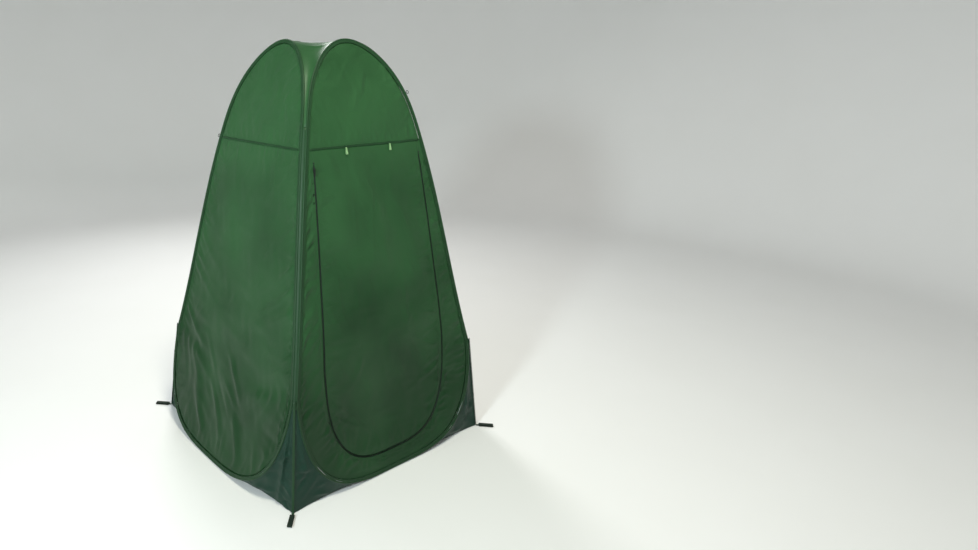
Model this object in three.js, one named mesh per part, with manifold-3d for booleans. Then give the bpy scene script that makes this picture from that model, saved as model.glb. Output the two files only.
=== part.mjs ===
// Pop-up privacy shower tent.
// Four closed spring-steel hoops, one in the edge of each wall, are sewn together along the corners.
// They part near the top, where gussets and a square cap close the roof, and near the ground, where
// a gusset runs down to a peg loop at each corner. The front wall has a U-shaped zip, and its door
// rolls up under the horizontal seam, where two ties hold it.
// Millimetres, +Z up, origin on the ground under the middle of the roof. The door faces -Y.

import * as THREE from 'three';
import { LoftGeometry } from 'three/addons/geometries/LoftGeometry.js';
import { mergeVertices } from 'three/addons/utils/BufferGeometryUtils.js';
import Module from 'manifold-3d';

const wasm = await Module();
wasm.setup();

// ---------- Driving dimensions ----------

const HEIGHT = 1900;
// Half the distance between neighbouring corners, as the four handles of a curve from ground to top.
const HALF_WIDTH_HANDLES = [671, 447, 446, 213];
const JOIN_LOW = 489; // neighbouring hoops part below this height
const JOIN_HIGH = 1528; // and above this one
const SEAM_HEIGHT = 1465; // horizontal seam between the upper and the lower panels
const TOP_SETBACK = 30; // how far the top of a hoop leans in past the line of its wall
const BOW_FULL_HEIGHT = 147; // a wall's foot is bowed fully below this height
const BOW_END_HEIGHT = 782; // and not at all above this one
const FRONT_BOW = -70; // front and back walls are drawn in at the foot
const SIDE_BOW = 0;
const STAKE_HALF = 582; // peg corners, from the middle of the tent

const WIRE_RADIUS = 2;
const WIRE_SHIFT = 1; // the wire sits this far towards the sleeve's fold
const SLEEVE_BACK = 7; // wire's line to the outside edge of the sleeve
const SLEEVE_FRONT = 14; // wire's line to the edge sewn to the panel
const SLEEVE_HALF = 4.5; // half the sleeve's thickness
const SLEEVE_WALL = 1.4;
const SLEEVE_TAPER = 1.5; // how much the sleeve thins from its nose to the edge sewn to the panel
const SLEEVE_NOSE = 2.5;
const SLEEVE_NOSE_HALF = 1.5;
const SLEEVE_CAVITY = 2.6; // from the outside edge to where the hollow inside is widest
const HOOP_INSET = 14; // hoop wire's distance from the corner line, so two sleeves lie side by side
const HOOP_FOOT = SLEEVE_BACK; // the sleeve touches the ground
const HOOP_TOP = HEIGHT - SLEEVE_BACK;

const FABRIC = 2; // cloth with its coating and folds
const TAPE = 1.2;
const EDGE_GAP = 1.5;
const PANEL_INSET = SLEEVE_FRONT + EDGE_GAP;

const ZIP_TOP = 1405;
const ZIP_HALF_TOP = 295; // half the door's width at the horizontal seam
const ZIP_HALF_LOW = 358; // and where its legs turn into the round bottom
const ZIP_TURN = 560;
const ZIP_FOOT = 88;
const ZIP_POWER = 3; // roundness of the door's bottom outline
const ZIP_GAP = 0.8; // half the slot between the two rows of teeth
const ZIP_TAPE = 12.5; // outer edge of a zip tape, from the middle of the zip
const SURROUND_OFFSET = ZIP_TAPE + EDGE_GAP;
const DOOR_OFFSET = 20;
const ZIP_LEG_SHARES = [0, 0.25, 0.5, 0.75];
const ZIP_TURN_STEP = 10; // degrees between samples of the zip's round bottom
const DOOR_LEG_SHARES = [0, 0.2, 0.4, 0.6, 0.8];
const DOOR_TURN_ANGLES = [0, 10, 22, 35, 50, 65, 78, 86];
const ZIP_LEG_SHARE = 0.25; // a leg's top lies within this share of the zip's length
const HALVINGS = 30;

const SEAM_TAPE_HALF = 10;
const SEAM_TAPE_INSET = 10; // the tape stops short of the panel's edge
const SEAM_TAPE_CLEAR = 0.8;
const GUSSET_CLEARANCE = 9.5;

// Where the hoop's outline is sampled: angles around its round top and its round foot, in degrees.
const UPPER_ANGLES = [90, 84, 72, 60, 48, 36, 24, 12, 3];
const LOWER_ANGLES = [15, 30, 45, 60, 72, 80, 86, 90];
const STRAIGHT_STEPS = 6;
// Powers that round the hoop's top and foot away from a true ellipse.
const TOP_ROUNDNESS = 0.614;
const FOOT_WIDTH_POWER = 0.641;
const FOOT_DROP_POWER = 1.497;
const NORMAL_STEP = 2; // how far apart the wall is sampled to find its direction
const UPPER_COLUMNS = 6;
const LOWER_COLUMNS = 8;
const DOOR_COLUMNS = 6;
const SURROUND_COLUMNS = 2;
const SEAM_TAPE_COLUMNS = 4;

const STOP_OFFSET = 4; // the zip's top stops, beside the top of each leg
const STOP_RISE = 6;
const STOP_SIZE = [6, 2.4, 5];
const WEB_CLEAR = 0.4; // between the slider's web and the teeth's edges
const SLIDER_LENGTH = 13;
const SLIDER_HALF = 4.6;
const SLIDER_PLATE = 1.3;
const SLIDER_CLEAR = 1.2;
const SLIDER_HEIGHT = 1385;
const BAIL_HALF = 0.8;
const BAIL_RISE = 3.2;
const BAIL_SPAN = 3.5;
const BAIL_BAR = 1;
const PULL_LENGTH = 26;
const PULL_HALF = 3.2;
const PULL_BAR = 1.1;
const PULL_CORNER = 1.5;
const PULL_CORNER_RISE = 4;
const PULL_WINDOW = 5;
const PULL_CLEAR = 0.7;

const GUSSET_SAG = 0.05; // of the distance that the cloth spans
const ROOF_GUSSET_FROM = 6; // hoop sample at which the gap between two hoops is wide enough for cloth
const ROOF_GUSSET_SHARES = [0, 0.33, 0.67, 1];
const GUSSET_SHARES = [0.33, 0.67]; // of the way across each wing of a ground gusset
const GUSSET_HEM = 3;
const BINDING_HALF = 8;
const BINDING_CLEAR = 2;
const CORNER_TAPE_HALF = 9;
const CORNER_TAPE_BEHIND = 12; // how far inside the sleeves the corner tape lies
const CORNER_TAPE_HEIGHTS = [JOIN_LOW, 750, 1000, 1250, SEAM_HEIGHT, JOIN_HIGH];

const PEG_LOOP_LENGTH = 74;
const PEG_LOOP_HEIGHT = 10;
const PEG_LOOP_WIDTH = 20;
const PEG_LOOP_START = 15; // from the peg corner, along the diagonal
const TIE_LENGTH = 30;
const TIE_HEIGHT = 5;
const TIE_WIDTH = 9;
const TIE_OFFSET = 124;
const GUY_RING_RADIUS = 7;
const GUY_CORD_RADIUS = 1.3;
const GUY_SAMPLE_FRONT = 7; // hoop sample beside the front hoop's ring, on its right
const CAP_HALF = 175;
const CAP_CORNER = 24;
const CAP_HEIGHT = 1888;
const LOOP_STEPS = 6; // points round each end of a loop
const TIE_DROP = 4; // from the seam to a tie's sewn end
const TIE_STANDOFF = 1.5;
const TIE_RIBBON = 1;
const GUY_CLEAR = 0.4;
const GUY_SIDES = 6;
const GUY_STEPS = 14;

// ---------- Materials ----------

function cloth(color, roughness = 0.5) {
  return new THREE.MeshStandardMaterial({ color, roughness, metalness: 0 });
}
const panelCloth = cloth(0x335a3a);
const sideCloth = cloth(0x3a644a);
const gussetCloth = cloth(0x244b3a, 0.6);
const bindingCloth = cloth(0x22352a, 0.8);
const webbing = cloth(0x1f2a22, 0.85);
const zipTapeCloth = cloth(0x16241a, 0.85);
const tieRibbon = cloth(0x9cc88e, 0.7);
const springSteel = new THREE.MeshStandardMaterial({ color: 0x8b8f92, roughness: 0.35, metalness: 1 });
const zipMetal = new THREE.MeshStandardMaterial({ color: 0x2a2f2c, roughness: 0.4, metalness: 0.8 });

// ---------- The shape of a wall ----------

const cornerCurve = new THREE.CubicBezierCurve(
  ...HALF_WIDTH_HANDLES.map((half, i) => new THREE.Vector2(half, (HEIGHT * i) / 3)),
);

function cornerHalfWidth(z) {
  return cornerCurve.getPoint(THREE.MathUtils.clamp(z / HEIGHT, 0, 1)).x;
}

// How far the wall stands out from the middle of the tent, x along the wall and z up it.
function wallDepth(bow, x, z) {
  const half = cornerHalfWidth(z);
  const across = 1 - Math.min(1, (x / half) ** 2);
  const fade = 1 - THREE.MathUtils.smoothstep(z, BOW_FULL_HEIGHT, BOW_END_HEIGHT);
  const rise = Math.max(0, (z - JOIN_HIGH) / (HOOP_TOP - JOIN_HIGH));
  return half + bow * across * fade - TOP_SETBACK * rise ** 2;
}

function onWall(bow, x, z) {
  return new THREE.Vector3(x, -wallDepth(bow, x, z), z);
}

function wallNormal(bow, x, z) {
  const along = onWall(bow, x + NORMAL_STEP, z).sub(onWall(bow, x - NORMAL_STEP, z));
  const up = onWall(bow, x, z + NORMAL_STEP).sub(onWall(bow, x, z - NORMAL_STEP));
  return along.cross(up).normalize();
}

// ---------- The outline of a hoop ----------

// Right half of a hoop, from the middle of its top to the middle of its foot: where it is on the wall.
function rightOutline() {
  const outline = [];
  const add = (share, z) => outline.push({ x: (cornerHalfWidth(z) - HOOP_INSET) * share, z });
  for (const degrees of UPPER_ANGLES) {
    const angle = THREE.MathUtils.degToRad(degrees);
    const share = degrees === 90 ? 0 : Math.cos(angle);
    add(share, JOIN_HIGH + (HOOP_TOP - JOIN_HIGH) * Math.sin(angle) ** TOP_ROUNDNESS);
  }
  add(1, JOIN_HIGH);
  for (let i = 0; i <= STRAIGHT_STEPS; i++) {
    add(1, THREE.MathUtils.lerp(SEAM_HEIGHT, JOIN_LOW, i / STRAIGHT_STEPS));
  }
  for (const degrees of LOWER_ANGLES) {
    const angle = THREE.MathUtils.degToRad(degrees);
    const share = degrees === 90 ? 0 : Math.cos(angle) ** FOOT_WIDTH_POWER;
    add(share, JOIN_LOW - (JOIN_LOW - HOOP_FOOT) * Math.sin(angle) ** FOOT_DROP_POWER);
  }
  return outline;
}

const RIGHT_OUTLINE = rightOutline();
const SEAM_INDEX = UPPER_ANGLES.length + 1;
const FOOT_INDEX = RIGHT_OUTLINE.length - 1;
const GROUND_GUSSET_FROM = RIGHT_OUTLINE.length - LOWER_ANGLES.length;
const GROUND_GUSSET_TO = FOOT_INDEX - 2;
const CORNER_OUT = new THREE.Vector3(-1, -1, 0).normalize();
const CORNER_ALONG = new THREE.Vector3(1, -1, 0).normalize();

// The whole hoop, clockwise as seen from outside, with the directions that its section is laid out in.
function hoopPath(bow) {
  const mirrored = RIGHT_OUTLINE.slice(1, -1).reverse().map(({ x, z }) => ({ x: -x, z }));
  const outline = [...RIGHT_OUTLINE, ...mirrored];
  const points = outline.map(({ x, z }) => onWall(bow, x, z));
  return outline.map(({ x, z }, i) => {
    const next = points[(i + 1) % points.length];
    const last = points[(i + points.length - 1) % points.length];
    const tangent = next.clone().sub(last).normalize();
    const outward = wallNormal(bow, x, z);
    const inward = tangent.clone().cross(outward).normalize();
    return { position: points[i], inward, outward };
  });
}

// ---------- Solids ----------

function signedVolume(geometry) {
  const position = geometry.attributes.position;
  const index = geometry.index;
  const first = new THREE.Vector3().fromBufferAttribute(position, 0);
  const corner = (i) => new THREE.Vector3().fromBufferAttribute(position, index.getX(i)).sub(first);
  let volume = 0;
  for (let i = 0; i < index.count; i += 3) {
    volume += corner(i).dot(corner(i + 1).cross(corner(i + 2))) / 6;
  }
  return volume;
}

// A closed ring through sections that run right round a hoop.
function ring(sections) {
  const rows = [...sections, sections[0]];
  const oneWay = new LoftGeometry(rows);
  const otherWay = new LoftGeometry(rows.map((row) => [...row].reverse()));
  return signedVolume(oneWay) > 0 ? oneWay : otherWay;
}

// A sheet through a row of sections, each listed along its outer face and back along its inner face.
// It is a box's grid of points, moved to where the sections are.
function sheet(sections) {
  const columns = sections[0].length / 2 - 1;
  const rows = sections.length - 1;
  const geometry = new THREE.BoxGeometry(1, 1, 1, columns, rows, 1);
  const position = geometry.attributes.position;
  for (let i = 0; i < position.count; i++) {
    const column = Math.round((position.getX(i) + 0.5) * columns);
    const section = sections[Math.round((0.5 - position.getY(i)) * rows)];
    const point = section[position.getZ(i) > 0 ? column : section.length - 1 - column];
    position.setXYZ(i, point.x, point.y, point.z);
  }
  if (signedVolume(geometry) < 0) geometry.index.array.reverse();
  geometry.computeVertexNormals();
  return geometry;
}

// A cloth strip's section: the points along its outer face and back along its inner face.
function slab(points, normals, thickness) {
  const outer = points.map((p, i) => p.clone().addScaledVector(normals[i], thickness / 2));
  const inner = points.map((p, i) => p.clone().addScaledVector(normals[i], -thickness / 2));
  return [...outer, ...inner.reverse()];
}

// One level of a wall between two edges, as a section of its panel.
function wallRow(bow, left, right, z, columns, thickness, offset = 0) {
  const points = [];
  const normals = [];
  for (let i = 0; i <= columns; i++) {
    const x = THREE.MathUtils.lerp(left, right, i / columns);
    const normal = wallNormal(bow, x, z);
    points.push(onWall(bow, x, z).addScaledVector(normal, offset));
    normals.push(normal);
  }
  return slab(points, normals, thickness);
}

function mesh(name, geometry, material) {
  const piece = new THREE.Mesh(geometry, material);
  piece.name = name;
  return piece;
}

// ---------- Pieces of one wall ----------

function ringSection(path, outline) {
  return path.map(({ position, inward, outward }) => outline.map(([across, out]) =>
    position.clone().addScaledVector(inward, across).addScaledVector(outward, out)));
}

function hoopWire(path) {
  const corners = [0, 1, 2, 3, 4, 5].map((i) => {
    const angle = (i * Math.PI) / 3;
    return [WIRE_RADIUS * Math.cos(angle) - WIRE_SHIFT, WIRE_RADIUS * Math.sin(angle)];
  });
  return ring(ringSection(path, corners));
}

// Binding folded round the wire, open towards the panel whose edge it holds.
function hoopSleeve(path) {
  const inner = SLEEVE_HALF - SLEEVE_WALL;
  const outline = [
    [SLEEVE_FRONT, SLEEVE_HALF - SLEEVE_TAPER],
    [-SLEEVE_BACK + SLEEVE_NOSE, SLEEVE_HALF],
    [-SLEEVE_BACK, SLEEVE_NOSE_HALF],
    [-SLEEVE_BACK, -SLEEVE_NOSE_HALF],
    [-SLEEVE_BACK + SLEEVE_NOSE, -SLEEVE_HALF],
    [SLEEVE_FRONT, -SLEEVE_HALF + SLEEVE_TAPER],
    [SLEEVE_FRONT, -inner + SLEEVE_TAPER],
    [-SLEEVE_BACK + SLEEVE_CAVITY, -inner],
    [-SLEEVE_BACK + SLEEVE_WALL, 0],
    [-SLEEVE_BACK + SLEEVE_CAVITY, inner],
    [SLEEVE_FRONT, inner - SLEEVE_TAPER],
  ];
  return ring(ringSection(path, outline));
}

// The panel's edge beside one sample of the hoop's right half.
function panelEdge(path, i) {
  const { position, inward } = path[i];
  return position.clone().addScaledVector(inward, PANEL_INSET);
}

function upperPanel(bow, path) {
  const sections = [];
  for (let i = SEAM_INDEX; i >= 1; i--) {
    const edge = panelEdge(path, i);
    const z = i === SEAM_INDEX ? SEAM_HEIGHT + EDGE_GAP : edge.z;
    sections.push(wallRow(bow, -edge.x, edge.x, z, UPPER_COLUMNS, FABRIC));
  }
  return sheet(sections);
}

function lowerPanel(bow, path) {
  const sections = [];
  for (let i = SEAM_INDEX; i < FOOT_INDEX; i++) {
    const edge = panelEdge(path, i);
    const z = i === SEAM_INDEX ? SEAM_HEIGHT - EDGE_GAP : edge.z;
    sections.push(wallRow(bow, -edge.x, edge.x, z, LOWER_COLUMNS, FABRIC));
  }
  return sheet(sections);
}

// Tape that covers the horizontal seam on the inside.
function seamTape(bow, path) {
  const edge = panelEdge(path, SEAM_INDEX);
  const half = edge.x - SEAM_TAPE_INSET;
  const behind = -(FABRIC / 2 + TAPE / 2 + SEAM_TAPE_CLEAR);
  const row = (z) => wallRow(bow, -half, half, z, SEAM_TAPE_COLUMNS, TAPE, behind);
  return sheet([row(SEAM_HEIGHT + SEAM_TAPE_HALF), row(SEAM_HEIGHT - SEAM_TAPE_HALF)]);
}

// ---------- The door and its zip ----------

// The zip's line on the wall, moved outwards by offset: right leg, round bottom, left leg.
function zipOutline(offset) {
  const half = ZIP_HALF_LOW + offset;
  const drop = ZIP_TURN - ZIP_FOOT + offset;
  const right = [];
  for (const share of ZIP_LEG_SHARES) {
    const x = THREE.MathUtils.lerp(ZIP_HALF_TOP + offset, half, share);
    right.push(new THREE.Vector3(x, 0, THREE.MathUtils.lerp(SEAM_HEIGHT - EDGE_GAP, ZIP_TURN, share)));
  }
  for (let degrees = 0; degrees < 90; degrees += ZIP_TURN_STEP) {
    const angle = THREE.MathUtils.degToRad(degrees);
    const x = half * Math.cos(angle) ** (2 / ZIP_POWER);
    right.push(new THREE.Vector3(x, 0, ZIP_TURN - drop * Math.sin(angle) ** (2 / ZIP_POWER)));
  }
  const foot = new THREE.Vector3(0, 0, ZIP_TURN - drop);
  const left = right.map((p) => new THREE.Vector3(-p.x, 0, p.z)).reverse();
  return new THREE.CatmullRomCurve3([...right, foot, ...left], false, 'centripetal');
}

// Samples of the hoop below the seam, right to left, and how far along that stretch each one is.
function hoopBelowSeam(path) {
  const samples = path.slice(SEAM_INDEX, 2 * FOOT_INDEX - SEAM_INDEX + 1);
  const lengths = [0];
  for (let i = 1; i < samples.length; i++) {
    lengths.push(lengths[i - 1] + samples[i].position.distanceTo(samples[i - 1].position));
  }
  const total = lengths[lengths.length - 1];
  return samples.map((sample, i) => ({ sample, share: lengths[i] / total }));
}

// A strip of the front wall between two flat outlines, for the same share of both.
function wallStrip(bow, from, to, columns, thickness) {
  const points = [];
  const normals = [];
  for (let i = 0; i <= columns; i++) {
    const flat = from.clone().lerp(to, i / columns);
    points.push(onWall(bow, flat.x, flat.z));
    normals.push(wallNormal(bow, flat.x, flat.z));
  }
  return slab(points, normals, thickness);
}

function doorSurround(bow, path) {
  const inner = zipOutline(SURROUND_OFFSET);
  return sheet(hoopBelowSeam(path).map(({ sample, share }, i, all) => {
    const edge = sample.position.clone().addScaledVector(sample.inward, PANEL_INSET);
    const isEnd = i === 0 || i === all.length - 1;
    const outer = new THREE.Vector3(edge.x, 0, isEnd ? SEAM_HEIGHT - EDGE_GAP : edge.z);
    return wallStrip(bow, inner.getPointAt(share), outer, SURROUND_COLUMNS, FABRIC);
  }));
}

// The share of the zip's outline at which a leg reaches the top of the zip.
function zipTopShare(outline) {
  let low = 0;
  let high = ZIP_LEG_SHARE;
  for (let i = 0; i < HALVINGS; i++) {
    const middle = (low + high) / 2;
    if (outline.getPointAt(middle).z > ZIP_TOP) low = middle;
    else high = middle;
  }
  return low;
}

function zipTape(path, nearOffset, farOffset) {
  const near = zipOutline(nearOffset);
  const far = zipOutline(farOffset);
  const start = zipTopShare(near);
  const shares = hoopBelowSeam(path).map(({ share }) => THREE.MathUtils.clamp(share, start, 1 - start));
  return sheet(shares.map((share) =>
    wallStrip(FRONT_BOW, near.getPointAt(share), far.getPointAt(share), 1, TAPE)));
}

function doorPanel(bow) {
  const half = ZIP_HALF_LOW - DOOR_OFFSET;
  const drop = ZIP_TURN - ZIP_FOOT - DOOR_OFFSET;
  const sections = [];
  for (const share of DOOR_LEG_SHARES) {
    const edge = THREE.MathUtils.lerp(ZIP_HALF_TOP - DOOR_OFFSET, half, share);
    const z = THREE.MathUtils.lerp(SEAM_HEIGHT - EDGE_GAP, ZIP_TURN, share);
    sections.push(wallRow(bow, -edge, edge, z, DOOR_COLUMNS, FABRIC));
  }
  for (const degrees of DOOR_TURN_ANGLES) {
    const angle = THREE.MathUtils.degToRad(degrees);
    const edge = half * Math.cos(angle) ** (2 / ZIP_POWER);
    const z = ZIP_TURN - drop * Math.sin(angle) ** (2 / ZIP_POWER);
    sections.push(wallRow(bow, -edge, edge, z, DOOR_COLUMNS, FABRIC));
  }
  return sheet(sections);
}

// ---------- Zip slider and its pull ----------

// Frame of the slider: across the zip, along its left leg (up) and out of the wall.
function sliderFrame() {
  const leg = (z) => {
    const share = (SEAM_HEIGHT - EDGE_GAP - z) / (SEAM_HEIGHT - EDGE_GAP - ZIP_TURN);
    return onWall(FRONT_BOW, -THREE.MathUtils.lerp(ZIP_HALF_TOP, ZIP_HALF_LOW, share), z);
  };
  const origin = leg(SLIDER_HEIGHT);
  const up = leg(ZIP_TOP).sub(leg(ZIP_TURN)).normalize();
  const out = wallNormal(FRONT_BOW, origin.x, origin.z);
  const across = up.clone().cross(out).normalize();
  const square = across.clone().cross(up).normalize();
  return new THREE.Matrix4().makeBasis(across, up, square).setPosition(origin);
}

function extrudeCentred(shape, depth) {
  const geometry = new THREE.ExtrudeGeometry(shape, { depth, bevelEnabled: false, curveSegments: 4 });
  return geometry.translate(0, 0, -depth / 2);
}

// An outline through corner points.
function outlineShape(corners) {
  return new THREE.Shape(corners.map(([x, y]) => new THREE.Vector2(x, y)));
}

function toSolid(geometry) {
  const bare = geometry.clone();
  bare.deleteAttribute('normal');
  bare.deleteAttribute('uv');
  const merged = mergeVertices(bare);
  const vertProperties = merged.attributes.position.array;
  const triVerts = new Uint32Array(merged.index.array);
  return new wasm.Manifold(new wasm.Mesh({ numProp: 3, vertProperties, triVerts }));
}

function fromSolid(solid) {
  const { vertProperties, triVerts } = solid.getMesh();
  const geometry = new THREE.BufferGeometry();
  geometry.setAttribute('position', new THREE.BufferAttribute(new Float32Array(vertProperties), 3));
  geometry.setIndex(new THREE.BufferAttribute(new Uint32Array(triVerts), 1));
  return geometry;
}

// Two plates, one on each face of the tapes, joined through the slot between them.
function sliderBody() {
  const face = TAPE / 2 + SLIDER_CLEAR;
  const back = face + SLIDER_PLATE;
  const web = ZIP_GAP - WEB_CLEAR;
  const right = [[SLIDER_HALF, back], [SLIDER_HALF, face], [web, face]];
  const lowerRight = [[web, -face], [SLIDER_HALF, -face], [SLIDER_HALF, -back]];
  const mirror = (points) => points.map(([x, y]) => [-x, y]).reverse();
  const shape = outlineShape([...right, ...lowerRight, ...mirror(lowerRight), ...mirror(right)]);
  // The section lies across the zip and out of the wall, and is drawn out along the leg.
  const body = extrudeCentred(shape, SLIDER_LENGTH).rotateX(Math.PI / 2);
  return fromSolid(toSolid(body).add(toSolid(bail(back))));
}

// Arch on the slider's outer plate that holds the pull, seen from the side of the slider.
function bail(base) {
  const inside = BAIL_SPAN / 2;
  const outside = inside + BAIL_BAR;
  const sunk = base - SLIDER_PLATE / 2;
  const crown = base + BAIL_RISE;
  const arch = outlineShape([
    [-outside, sunk], [-inside, sunk], [-inside, crown - BAIL_BAR],
    [inside, crown - BAIL_BAR], [inside, sunk], [outside, sunk],
    [outside, crown - BAIL_BAR / 2], [inside, crown], [-inside, crown], [-outside, crown - BAIL_BAR / 2],
  ]);
  const turned = new THREE.Matrix4().makeBasis(
    new THREE.Vector3(0, 1, 0), new THREE.Vector3(0, 0, 1), new THREE.Vector3(1, 0, 0));
  return extrudeCentred(arch, 2 * BAIL_HALF).applyMatrix4(turned);
}

// Flat pull that hangs from the bail: its short bar lies inside the arch.
function zipPull() {
  const lift = TAPE / 2 + SLIDER_CLEAR + SLIDER_PLATE + (BAIL_RISE - BAIL_BAR) / 2;
  const bar = PULL_BAR / 2;
  const shape = outlineShape([
    [-PULL_HALF, bar], [PULL_HALF, bar], [PULL_HALF, -PULL_LENGTH + PULL_CORNER_RISE],
    [PULL_HALF - PULL_CORNER, -PULL_LENGTH], [-PULL_HALF + PULL_CORNER, -PULL_LENGTH],
    [-PULL_HALF, -PULL_LENGTH + PULL_CORNER_RISE],
  ]);
  const windowHalf = BAIL_HALF + PULL_CLEAR;
  const window = [
    [-windowHalf, -bar], [-windowHalf, -PULL_WINDOW], [windowHalf, -PULL_WINDOW], [windowHalf, -bar],
  ];
  shape.holes.push(new THREE.Path(window.map(([x, y]) => new THREE.Vector2(x, y))));
  return extrudeCentred(shape, PULL_BAR).translate(0, 0, lift);
}

// Small block that stops the slider at the top of a leg.
function zipStop(side) {
  const origin = onWall(FRONT_BOW, side * (ZIP_HALF_TOP + STOP_OFFSET), ZIP_TOP + STOP_RISE);
  return new THREE.BoxGeometry(...STOP_SIZE).translate(origin.x, origin.y, origin.z);
}

// ---------- Corners ----------

// A corner lies between the left end of one wall and the right end of the next one round.
// These give a point outside the hoop's wire, by back, on each of those walls.
function leftEnd(bow, i, back = 0) {
  const path = hoopPath(bow);
  const { position, inward } = path[path.length - i];
  return position.clone().addScaledVector(inward, -back);
}

function rightEnd(bow, i, back = 0) {
  const { position, inward } = hoopPath(bow)[i];
  const point = position.clone().addScaledVector(inward, -back);
  return point.applyAxisAngle(new THREE.Vector3(0, 0, 1), -Math.PI / 2);
}

// A cloth panel across lines of points, one line for each level.
function clothBetween(lines, thickness, facing) {
  const sections = lines.map((line, row) => {
    const above = lines[Math.max(0, row - 1)];
    const below = lines[Math.min(lines.length - 1, row + 1)];
    const normals = line.map((_, i) => {
      const across = line[Math.min(line.length - 1, i + 1)].clone().sub(line[Math.max(0, i - 1)]);
      const normal = across.cross(above[i].clone().sub(below[i])).normalize();
      return normal.dot(facing) < 0 ? normal.negate() : normal;
    });
    return slab(line, normals, thickness);
  });
  return sheet(sections);
}

function clearOf(from, towards, distance) {
  return from.clone().addScaledVector(towards.clone().sub(from).normalize(), distance);
}

// A point between two others on slack cloth, which hangs in towards the middle of the tent.
function sagged(from, to, share) {
  const sag = GUSSET_SAG * from.distanceTo(to) * 4 * share * (1 - share);
  return from.clone().lerp(to, share).addScaledVector(CORNER_OUT, -sag);
}

function roofGusset(leftBow, rightBow) {
  const lines = [];
  for (let i = ROOF_GUSSET_FROM; i >= 1; i--) {
    const a = leftEnd(leftBow, i);
    const b = rightEnd(rightBow, i);
    const start = clearOf(a, b, GUSSET_CLEARANCE);
    const end = clearOf(b, a, GUSSET_CLEARANCE);
    lines.push(ROOF_GUSSET_SHARES.map((share) => sagged(start, end, share)));
  }
  return clothBetween(lines, FABRIC, new THREE.Vector3(-1, -1, 1));
}

// The fold line of the ground gusset, from where the hoops part to the peg corner.
function gussetFold(share) {
  const half = THREE.MathUtils.lerp(cornerHalfWidth(JOIN_LOW), STAKE_HALF, share);
  return new THREE.Vector3(-half, -half, THREE.MathUtils.lerp(JOIN_LOW, GUSSET_HEM, share));
}

function gussetShares() {
  const drop = (i) => JOIN_LOW - RIGHT_OUTLINE[i].z;
  const shares = [];
  for (let i = GROUND_GUSSET_FROM; i <= GROUND_GUSSET_TO; i++) {
    shares.push(drop(i) / drop(GROUND_GUSSET_TO));
  }
  return shares;
}

// Each line runs from the bowed hoop. Run the other way, the diagonals of the cloth's two faces would
// meet inside it where it twists.
function groundGusset(leftBow, rightBow) {
  const lines = gussetShares().map((share, row) => {
    const fold = gussetFold(share);
    const start = leftEnd(leftBow, GROUND_GUSSET_FROM + row, GUSSET_CLEARANCE);
    const end = rightEnd(rightBow, GROUND_GUSSET_FROM + row, GUSSET_CLEARANCE);
    const left = GUSSET_SHARES.map((across) => sagged(start, fold, across));
    const right = GUSSET_SHARES.map((across) => sagged(fold, end, across));
    const line = [start, ...left, fold, ...right, end];
    return leftBow > rightBow ? line.reverse() : line;
  });
  return clothBetween(lines, FABRIC, CORNER_OUT);
}

// A flat tape whose width lies across the corner.
function cornerTape(centres, half, thickness) {
  return sheet(centres.map((centre) => [[-1, -1], [1, -1], [1, 1], [-1, 1]].map(([across, out]) =>
    centre.clone()
      .addScaledVector(CORNER_ALONG, across * half)
      .addScaledVector(CORNER_OUT, (out * thickness) / 2))));
}

function gussetBinding() {
  const proud = FABRIC / 2 + TAPE / 2 + BINDING_CLEAR;
  const centres = gussetShares().map((share) => gussetFold(share).addScaledVector(CORNER_OUT, proud));
  return cornerTape(centres, BINDING_HALF, TAPE);
}

// Tape inside the corner that covers the seam between two sleeves.
function cornerSeamTape() {
  const behind = SLEEVE_HALF + CORNER_TAPE_BEHIND;
  const centres = CORNER_TAPE_HEIGHTS.map((z) => {
    const half = cornerHalfWidth(z) - behind;
    return new THREE.Vector3(-half, -half, z);
  });
  return cornerTape(centres, CORNER_TAPE_HALF, TAPE);
}

// ---------- Peg loops, ties, guy loops and the roof cap ----------

// A flattened loop of webbing seen from the side, from x = 0 to its length, on y = 0.
function webbingLoop(length, height, wall, width) {
  const round = (inset) => {
    const radius = height / 2 - inset;
    const path = new THREE.Path();
    path.absarc(length - height / 2, height / 2, radius, -Math.PI / 2, Math.PI / 2, false);
    path.absarc(height / 2, height / 2, radius, Math.PI / 2, (3 * Math.PI) / 2, false);
    path.closePath();
    return path;
  };
  const shape = new THREE.Shape(round(0).getPoints(LOOP_STEPS));
  shape.holes.push(new THREE.Path(round(wall).getPoints(LOOP_STEPS).reverse()));
  return extrudeCentred(shape, width);
}

function pegLoop() {
  const geometry = webbingLoop(PEG_LOOP_LENGTH, PEG_LOOP_HEIGHT, TAPE, PEG_LOOP_WIDTH);
  const sideways = CORNER_OUT.clone().cross(new THREE.Vector3(0, 0, 1));
  const frame = new THREE.Matrix4().makeBasis(CORNER_OUT, new THREE.Vector3(0, 0, 1), sideways);
  const start = new THREE.Vector3(-STAKE_HALF, -STAKE_HALF, 0).addScaledVector(CORNER_OUT, PEG_LOOP_START);
  return geometry.applyMatrix4(frame.setPosition(start));
}

// Ribbon loop that hangs under the seam and holds the rolled door.
function doorTie(side) {
  const x = side * TIE_OFFSET;
  const top = onWall(FRONT_BOW, x, SEAM_HEIGHT - TIE_DROP);
  const down = onWall(FRONT_BOW, x, SEAM_HEIGHT - TIE_DROP - TIE_LENGTH).sub(top).normalize();
  const out = wallNormal(FRONT_BOW, x, SEAM_HEIGHT);
  const across = down.clone().cross(out).normalize();
  const square = across.clone().cross(down).normalize();
  const frame = new THREE.Matrix4().makeBasis(down, square, across);
  frame.setPosition(top.addScaledVector(square, FABRIC / 2 + TIE_STANDOFF));
  return webbingLoop(TIE_LENGTH, TIE_HEIGHT, TIE_RIBBON, TIE_WIDTH).applyMatrix4(frame);
}

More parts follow.
